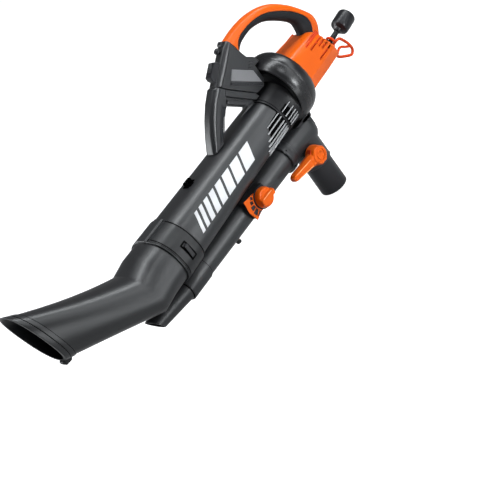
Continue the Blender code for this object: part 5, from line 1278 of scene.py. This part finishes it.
def barrel_notches():
    """Small blocks that cut notches into the barrel's front collar."""
    reach = BARREL_RADIUS + 3.0
    points, faces = box_shell((BARREL_FRONT_X - 2.0, -3.0, -2.4), (BARREL_FRONT_X + 9.0, 3.0, 2.4))
    notches = []
    for degrees in (118.0, 150.0, 214.0, 246.0):
        angle = math.radians(degrees)
        middle = Vector((0.0, reach * math.cos(angle), BARREL_Z + reach * math.sin(angle)))
        turn = Matrix.Rotation(angle, 3, "X")
        notches.append(raw("notch", ([tuple(turn @ Vector(p) + middle) for p in points], faces)))
    return notches


def make_diverter():
    """Barrel with its outlet stub, lever boss and duct to the fan case, cut out for its neighbours."""
    outline = offsets(BARREL_FRONT_X, BARREL_RADIUS, (
        (0.0, 1.6), (1.2, 3.0), (15.0, 3.0), (16.4, 2.4), (17.0, 1.0), (26.0, 0.6), (27.0, -0.2)))
    outline += offsets(BARREL_REAR_X, BARREL_RADIUS, (
        (-30.0, -0.2), (-22.0, -1.0), (-15.0, -3.4), (-9.0, -7.6), (-4.5, -13.5), (-1.8, -20.0),
        (0.0, -30.0)))
    body = raw("diverter_skin", lofted([round_ring(x, BARREL_Z, radius) for x, radius in outline]))
    stub = [(BARREL_Z, 38.3)] + offsets(OUTLET_TOP_Z, 0.0, ((-12.0, 38.3), (-13.2, 37.9), (-14.0, 36.9)))
    added = (
        raw("stub", lofted(turned_z(stub, OUTLET_X))),
        raw("boss", bar_shell((FLAP_X, LEVER_BACK_Y + FIT, FLAP_Z), (FLAP_X, 36.0, FLAP_Z), 10.0)),
        raw("duct", box_shell((-125.0, -30.0, BARREL_Z), (-96.0, 30.0, AXIS_Z - 60.0))),
    )
    carve(body, *added, operation="UNION")
    seat = strip(FAN_FRONT_X - 20.0, FAN_REAR_X + 20.0, 20.0, FAN_RADIUS + FIT)
    bore = [blow_ring(BARREL_FRONT_X - 1.0, FIT), round_ring(-190.0, BARREL_Z, 34.0)]
    socket = bar_shell((OUTLET_X, 0.0, OUTLET_TOP_Z + FIT), (OUTLET_X, 0.0, -380.0), OUTLET_RADIUS + FIT)
    carve(body, raw("seat", turned_x(seat)), raw("bore", lofted(bore)), raw("socket", socket))
    carve(body, *barrel_notches())
    piece(body, CHARCOAL, "diverter_housing", angle=35.0)


def make_saddle():
    """Seat between the diverter and the round of the fan case."""
    saddle = []
    for x, half, low in (
            (-150.0, 20.0, -236.0), (-140.0, 30.0, -240.0), (-92.0, 30.0, -240.0), (-82.0, 20.0, -236.0)):
        ring = []
        for i in range(12):
            y = share(-half, half, i / 11.0)
            ring.append((x, y, AXIS_Z - math.sqrt((FAN_RADIUS + 0.6) ** 2 - y * y)))
        saddle.append(ring + [(x, half, low), (x, -half, low)])
    piece(raw("diverter_saddle", lofted(saddle)), BLACK, bevel=1.5, angle=40.0)


def make_outlet():
    """Bag outlet with the small ball stud behind it."""
    outline = [(OUTLET_TOP_Z, OUTLET_RADIUS)]
    outline += offsets(OUTLET_END_Z, OUTLET_RADIUS, ((2.2, 0.0), (0.7, -0.4), (0.0, -1.3), (0.0, -2.6)))
    outline.append((OUTLET_TOP_Z, OUTLET_RADIUS - 2.6))
    stem_x = OUTLET_X + OUTLET_RADIUS
    stem = bar_shell((stem_x - 1.5, STEM_Y, STEM_Z), (stem_x + 4.0, STEM_Y, STEM_Z), 2.6)
    radius = 4.2
    ball = []
    for i in range(9):
        angle = math.radians(share(-70.0, 85.0, i / 8.0))
        x = stem_x + radius + radius * math.sin(angle)
        ball.append([(x, STEM_Y + a, STEM_Z + b) for a, b in circle(radius * math.cos(angle), 24)])
    shells = (looped(turned_z(outline, OUTLET_X)), stem, lofted(ball))
    piece(raw("outlet_skin", *shells), BLACK, "vac_outlet", angle=40.0)


def octagon(radius, soft):
    """A circle pulled part of the way to an octagon."""
    half = math.pi / 8.0
    points = []
    for angle in turns(ROUND):
        fold = (angle + half) % (2.0 * half) - half
        reach = radius * share(1.0, math.cos(half) / math.cos(fold), soft)
        points.append((reach * math.cos(angle), reach * math.sin(angle)))
    return points


def lever_ring(angle, distance, points):
    """A section across a direction from the lever's axis, from (offset, y) points."""
    along = Vector((math.cos(angle), math.sin(angle)))
    across = Vector((-along.y, along.x))
    middle = Vector((FLAP_X, FLAP_Z)) + along * distance
    ring = []
    for offset, y in points:
        place = middle + across * offset
        ring.append((place.x, y, place.y))
    return ring


def lever_hub():
    hub = []
    for y, radius, soft in (
            (LEVER_BACK_Y, 24.5, 0.0), (-41.0, 25.2, 0.0), (-48.0, 25.0, 0.1), (-56.0, 24.4, 0.5),
            (-62.0, 23.6, 0.8), (-64.6, 22.6, 0.8), (LEVER_FACE_Y, 20.6, 0.8)):
        hub.append([(FLAP_X + a, y, FLAP_Z + b) for a, b in octagon(radius, soft)])
    return lofted(hub)


def lever_arm():
    sections = []
    for distance, low, crest, face in (
            (6.0, 19.0, 11.0, -63.5), (30.0, 15.0, 8.6, -63.5), (60.0, 12.4, 7.2, -63.0),
            (86.0, 10.6, 6.2, -62.4), (93.5, 8.6, 5.0, -61.6), (97.6, 4.6, 2.6, -59.0)):
        half = ((low - 1.6, -45.8), (low, -47.6), (low, -55.0), (crest + 1.2, face), (crest, face - 0.9))
        points = [(-offset, y) for offset, y in half] + list(reversed(half))
        sections.append(lever_ring(LEVER_ARM_ANGLE, distance, points))
    return lofted(sections)


def make_lever():
    """Mode lever: hub and arm with a dished face, ridges painted pale as highlights, a dark pad on its hub
    painted as the shade of a notch, and its cap.
    """
    lever = raw("lever_skin", lever_hub())
    carve(lever, raw("arm", lever_arm()), operation="UNION")
    dish = turned_y(((LEVER_FACE_Y - 1.0, 15.0), (LEVER_FACE_Y + 1.6, 14.0)), FLAP_X, FLAP_Z)
    carve(lever, raw("dish", dish))
    piece(lever, ORANGE, "mode_lever", body="mode_selector", bevel=1.3, segments=3, angle=24.0)
    ridges = []
    for _, side in SIDES:
        ends = []
        for distance, crest, face in ((33.0, 8.3, -64.4), (88.0, 5.9, -63.1)):
            ends += lever_ring(LEVER_ARM_ANGLE, distance, [(side * crest, face)])
        ridges.append(bar_shell(*ends, 1.1, 0.9))
    piece(raw("lever_ridges", *ridges), ORANGE_HIGHLIGHT, body="mode_selector", angle=40.0)
    # A slightly raised pad on the hub, painted dark as the shade of a notch.
    corners = ((-6.5, -46.0), (6.5, -46.0), (6.5, -58.0), (-6.5, -58.0))
    notch_shade = lofted([lever_ring(LEVER_SHADE_ANGLE, reach, corners) for reach in (23.6, 25.6)])
    piece(raw("lever_notch_shade", notch_shade), ORANGE_SHADE, body="mode_selector", bevel=0.5)
    outline = offsets(LEVER_FACE_Y, 0.0, ((2.0, 10.6), (0.9, 10.6), (0.2, 9.8), (0.2, 7.4), (0.9, 6.4)))
    cap = turned_y(outline, FLAP_X, FLAP_Z)
    piece(raw("lever_disc", cap), ORANGE, "lever_cap", body="mode_selector", angle=30.0)


def make_dial():
    """Speed dial with the bar across it, the bar's ridge painted pale as a highlight, and the ring behind
    the dial.
    """
    ring = ((CONTROL_FACE_Y + 0.5, 27.5), (CONTROL_FACE_Y - 2.0, 27.5), (DIAL_BACK_Y + FIT, 26.6))
    piece(raw("dial_ring", turned_y(ring, DIAL_X, DIAL_Z)), BLACK, "dial_base", angle=30.0)
    outline = offsets(DIAL_BACK_Y, DIAL_RADIUS, ((0.0, 0.0), (-7.0, -0.6)))
    outline += offsets(DIAL_FACE_Y, DIAL_RADIUS, ((3.0, -2.0), (1.0, -3.4), (0.0, -5.6)))
    body = raw("dial_skin", turned_y(outline, DIAL_X, DIAL_Z))
    reach = DIAL_RADIUS - 1.6
    sections = []
    for x, half, top in (
            (-reach, 7.6, 2.2), (-reach + 2.0, 8.8, 0.8), (-8.0, 8.6, 0.0),
            (8.0, 8.6, 0.0), (reach - 2.0, 8.8, 0.8), (reach, 7.6, 2.2)):
        side = ((DIAL_BACK_Y - 4.0, half), (DIAL_FACE_Y, half), (DIAL_BAR_FACE_Y + top, half - 2.6))
        lower = [(DIAL_X + x, y, DIAL_Z - z) for y, z in side]
        upper = [(DIAL_X + x, y, DIAL_Z + z) for y, z in reversed(side)]
        sections.append(lower + upper)
    carve(body, raw("bar", lofted(sections)), operation="UNION")
    piece(body, ORANGE, "speed_dial", body="dial", bevel=0.8, segments=3, angle=24.0)
    crest = (DIAL_BAR_FACE_Y + 0.5, DIAL_Z + 6.2)
    ridge = bar_shell((DIAL_X - 17.0, *crest), (DIAL_X + 15.0, *crest), 0.9)
    piece(raw("dial_ridge", ridge), ORANGE_HIGHLIGHT, body="dial", angle=40.0)


def scale_arc(radius, start, end, steps):
    points = []
    for i in range(steps + 1):
        angle = math.radians(share(start, end, i / steps))
        points.append((DIAL_X + radius * math.cos(angle), DIAL_Z + radius * math.sin(angle)))
    return points


def make_scale():
    """Plate beside the dial with windows that grow along its arc, on a dark backing."""
    inner = DIAL_RADIUS + 3.2
    outline = scale_arc(inner, 118.0, 226.0, 24)
    outline += offsets(DIAL_X, DIAL_Z, ((-47.0, -27.0), (-54.0, 0.0), (-50.0, 30.0)))
    face = CONTROL_FACE_Y - 0.2
    plate = raw("scale_skin", plate_shell(outline, (face, 0.0), (face - 1.5, 0.0), (face - 1.9, 0.4)))
    cutters = []
    for low, high, depth in (
            (121.0, 132.0, 5.0), (135.5, 149.0, 7.5), (152.5, 166.5, 10.0),
            (170.0, 185.0, 13.0), (188.5, 204.0, 15.5), (207.5, 221.0, 15.5)):
        window = scale_arc(inner + 2.2, low, high, 4)
        window += reversed(scale_arc(inner + 2.2 + depth, low, high, 4))
        cutters.append(raw("window", plate_shell(window, (face - 5.0, 0.0), (face - 0.5, 0.0))))
    carve(plate, *cutters)
    piece(plate, ORANGE, "scale_plate", angle=25.0)
    backing = plate_shell(inset(outline, 1.0), (face + 0.3, 0.0), (face - 0.6, 0.0))
    piece(raw("scale_backing", backing), BLACK, angle=25.0)


def make_control_box():
    low = (DIAL_X - 48.0, CONTROL_FACE_Y, DIAL_Z - 22.0)
    high = (DIAL_X + 22.0, -18.0, DIAL_Z + 24.0)
    box = raw("control_skin", box_shell(low, high))
    carve(box, raw("seat", lofted([blow_ring(x, FIT) for x in (-420.0, -300.0)])))
    piece(box, BLACK, "control_box", bevel=3.0, segments=4)


def make_cord_end():
    """Ribbed strain relief and plug, with the plug's fins."""
    start = Vector(cord_point(54.0))
    end = Vector(cord_point(CORD_END_X))
    along = (end - start).normalized()
    length = (end - start).length
    relief = [(0.0, 6.5), (46.0, 5.9)]
    for i in range(5):
        crest = 7.2 - 0.2 * i
        relief += offsets(56.0 + 4.8 * i, 0.0, ((0.0, 5.4), (0.4, crest), (2.6, crest - 0.1), (3.0, 5.3)))
    relief.append((length, 5.0))
    piece(raw("relief_skin", lofted(spun(start, along, relief, 48))), BLACK, "strain_relief", angle=30.0)
    plug = offsets(length, 0.0, (
        (0.3, 7.0), (2.0, 8.4), (9.0, 9.6), (10.5, 12.0), (11.5, 18.4), (13.0, 21.2), (16.0, 22.6)))
    plug += offsets(length, PLUG_RADIUS, (
        (22.0, 0.0), (50.0, 0.0), (53.6, -0.7), (56.0, -2.2), (56.8, -4.0), (56.2, -5.0), (37.0, -5.0)))
    piece(raw("plug_skin", lofted(spun(start, along, plug, ROUND))), BLACK, "plug_body", angle=35.0)
    turn = along.to_track_quat("Z", "Y").to_matrix()
    fins = []
    for _, side in SIDES:
        rings = []
        for distance, high, half in ((length + 3.0, 9.5, 2.2), (length + 12.6, 19.0, 3.2)):
            corners = ((6.0, -half), (high, -half), (high, half), (6.0, half))
            rings.append([tuple(start + turn @ Vector((v, side * u, distance))) for u, v in corners])
        fins.append(lofted(rings))
    piece(raw("plug_fins", *fins), GREY, bevel=0.6)


def make_hook():
    """Lead hook: a ring round the strain relief, a hanging loop and the bar across it."""
    z = cord_point(HOOK_X)[2]
    ring = [Vector((HOOK_X - b * math.sin(CORD_TILT), a, z + b)) for a, b in circle(10.2, 32)]
    loop = (
        (105.5, -3.0, z - 9.4), (122.0, -8.0, z - 9.0), (131.0, -10.5, -198.0), (136.0, -11.0, -213.0),
        (136.5, -11.0, -226.0), (131.0, -11.0, -232.5), (123.0, -11.0, -234.0), (106.0, -9.5, -224.0),
        (92.0, -8.0, -213.5), (88.5, -7.0, -204.0), (90.0, -6.0, -195.0), (102.5, -3.0, z - 9.4))
    bar = (
        (90.5, -8.0, -206.0), (103.0, -8.6, -199.5), (112.0, -9.0, -200.0), (124.0, -10.0, -209.5),
        (134.0, -11.0, -216.0))
    shells = [wire_shell(ring, 3.3, True)]
    shells += [wire_shell(smooth_line(path), radius) for path, radius in ((loop, 3.7), (bar, 3.3))]
    piece(raw("hook_skin", *shells), HOOK, "cord_hook", angle=60.0)


lay_camera()
light_studio()
lay_floor()
dress_nodes()
make_suction_tube()
make_silver_stripes()
make_collar()
make_collar_lines()
make_nozzle()
make_nozzle_foot()
make_louvres()
make_blower_tube()
make_blower_tip()
make_fan_case()
make_motor_cover()
make_handle()
make_front_housing()
make_bracket()
make_strut_inlays()
make_side_panels()
make_edge_fittings()
make_eyelet()
make_diverter()
make_saddle()
make_outlet()
make_lever()
make_dial()
make_scale()
make_control_box()
make_cord_end()
make_hook()
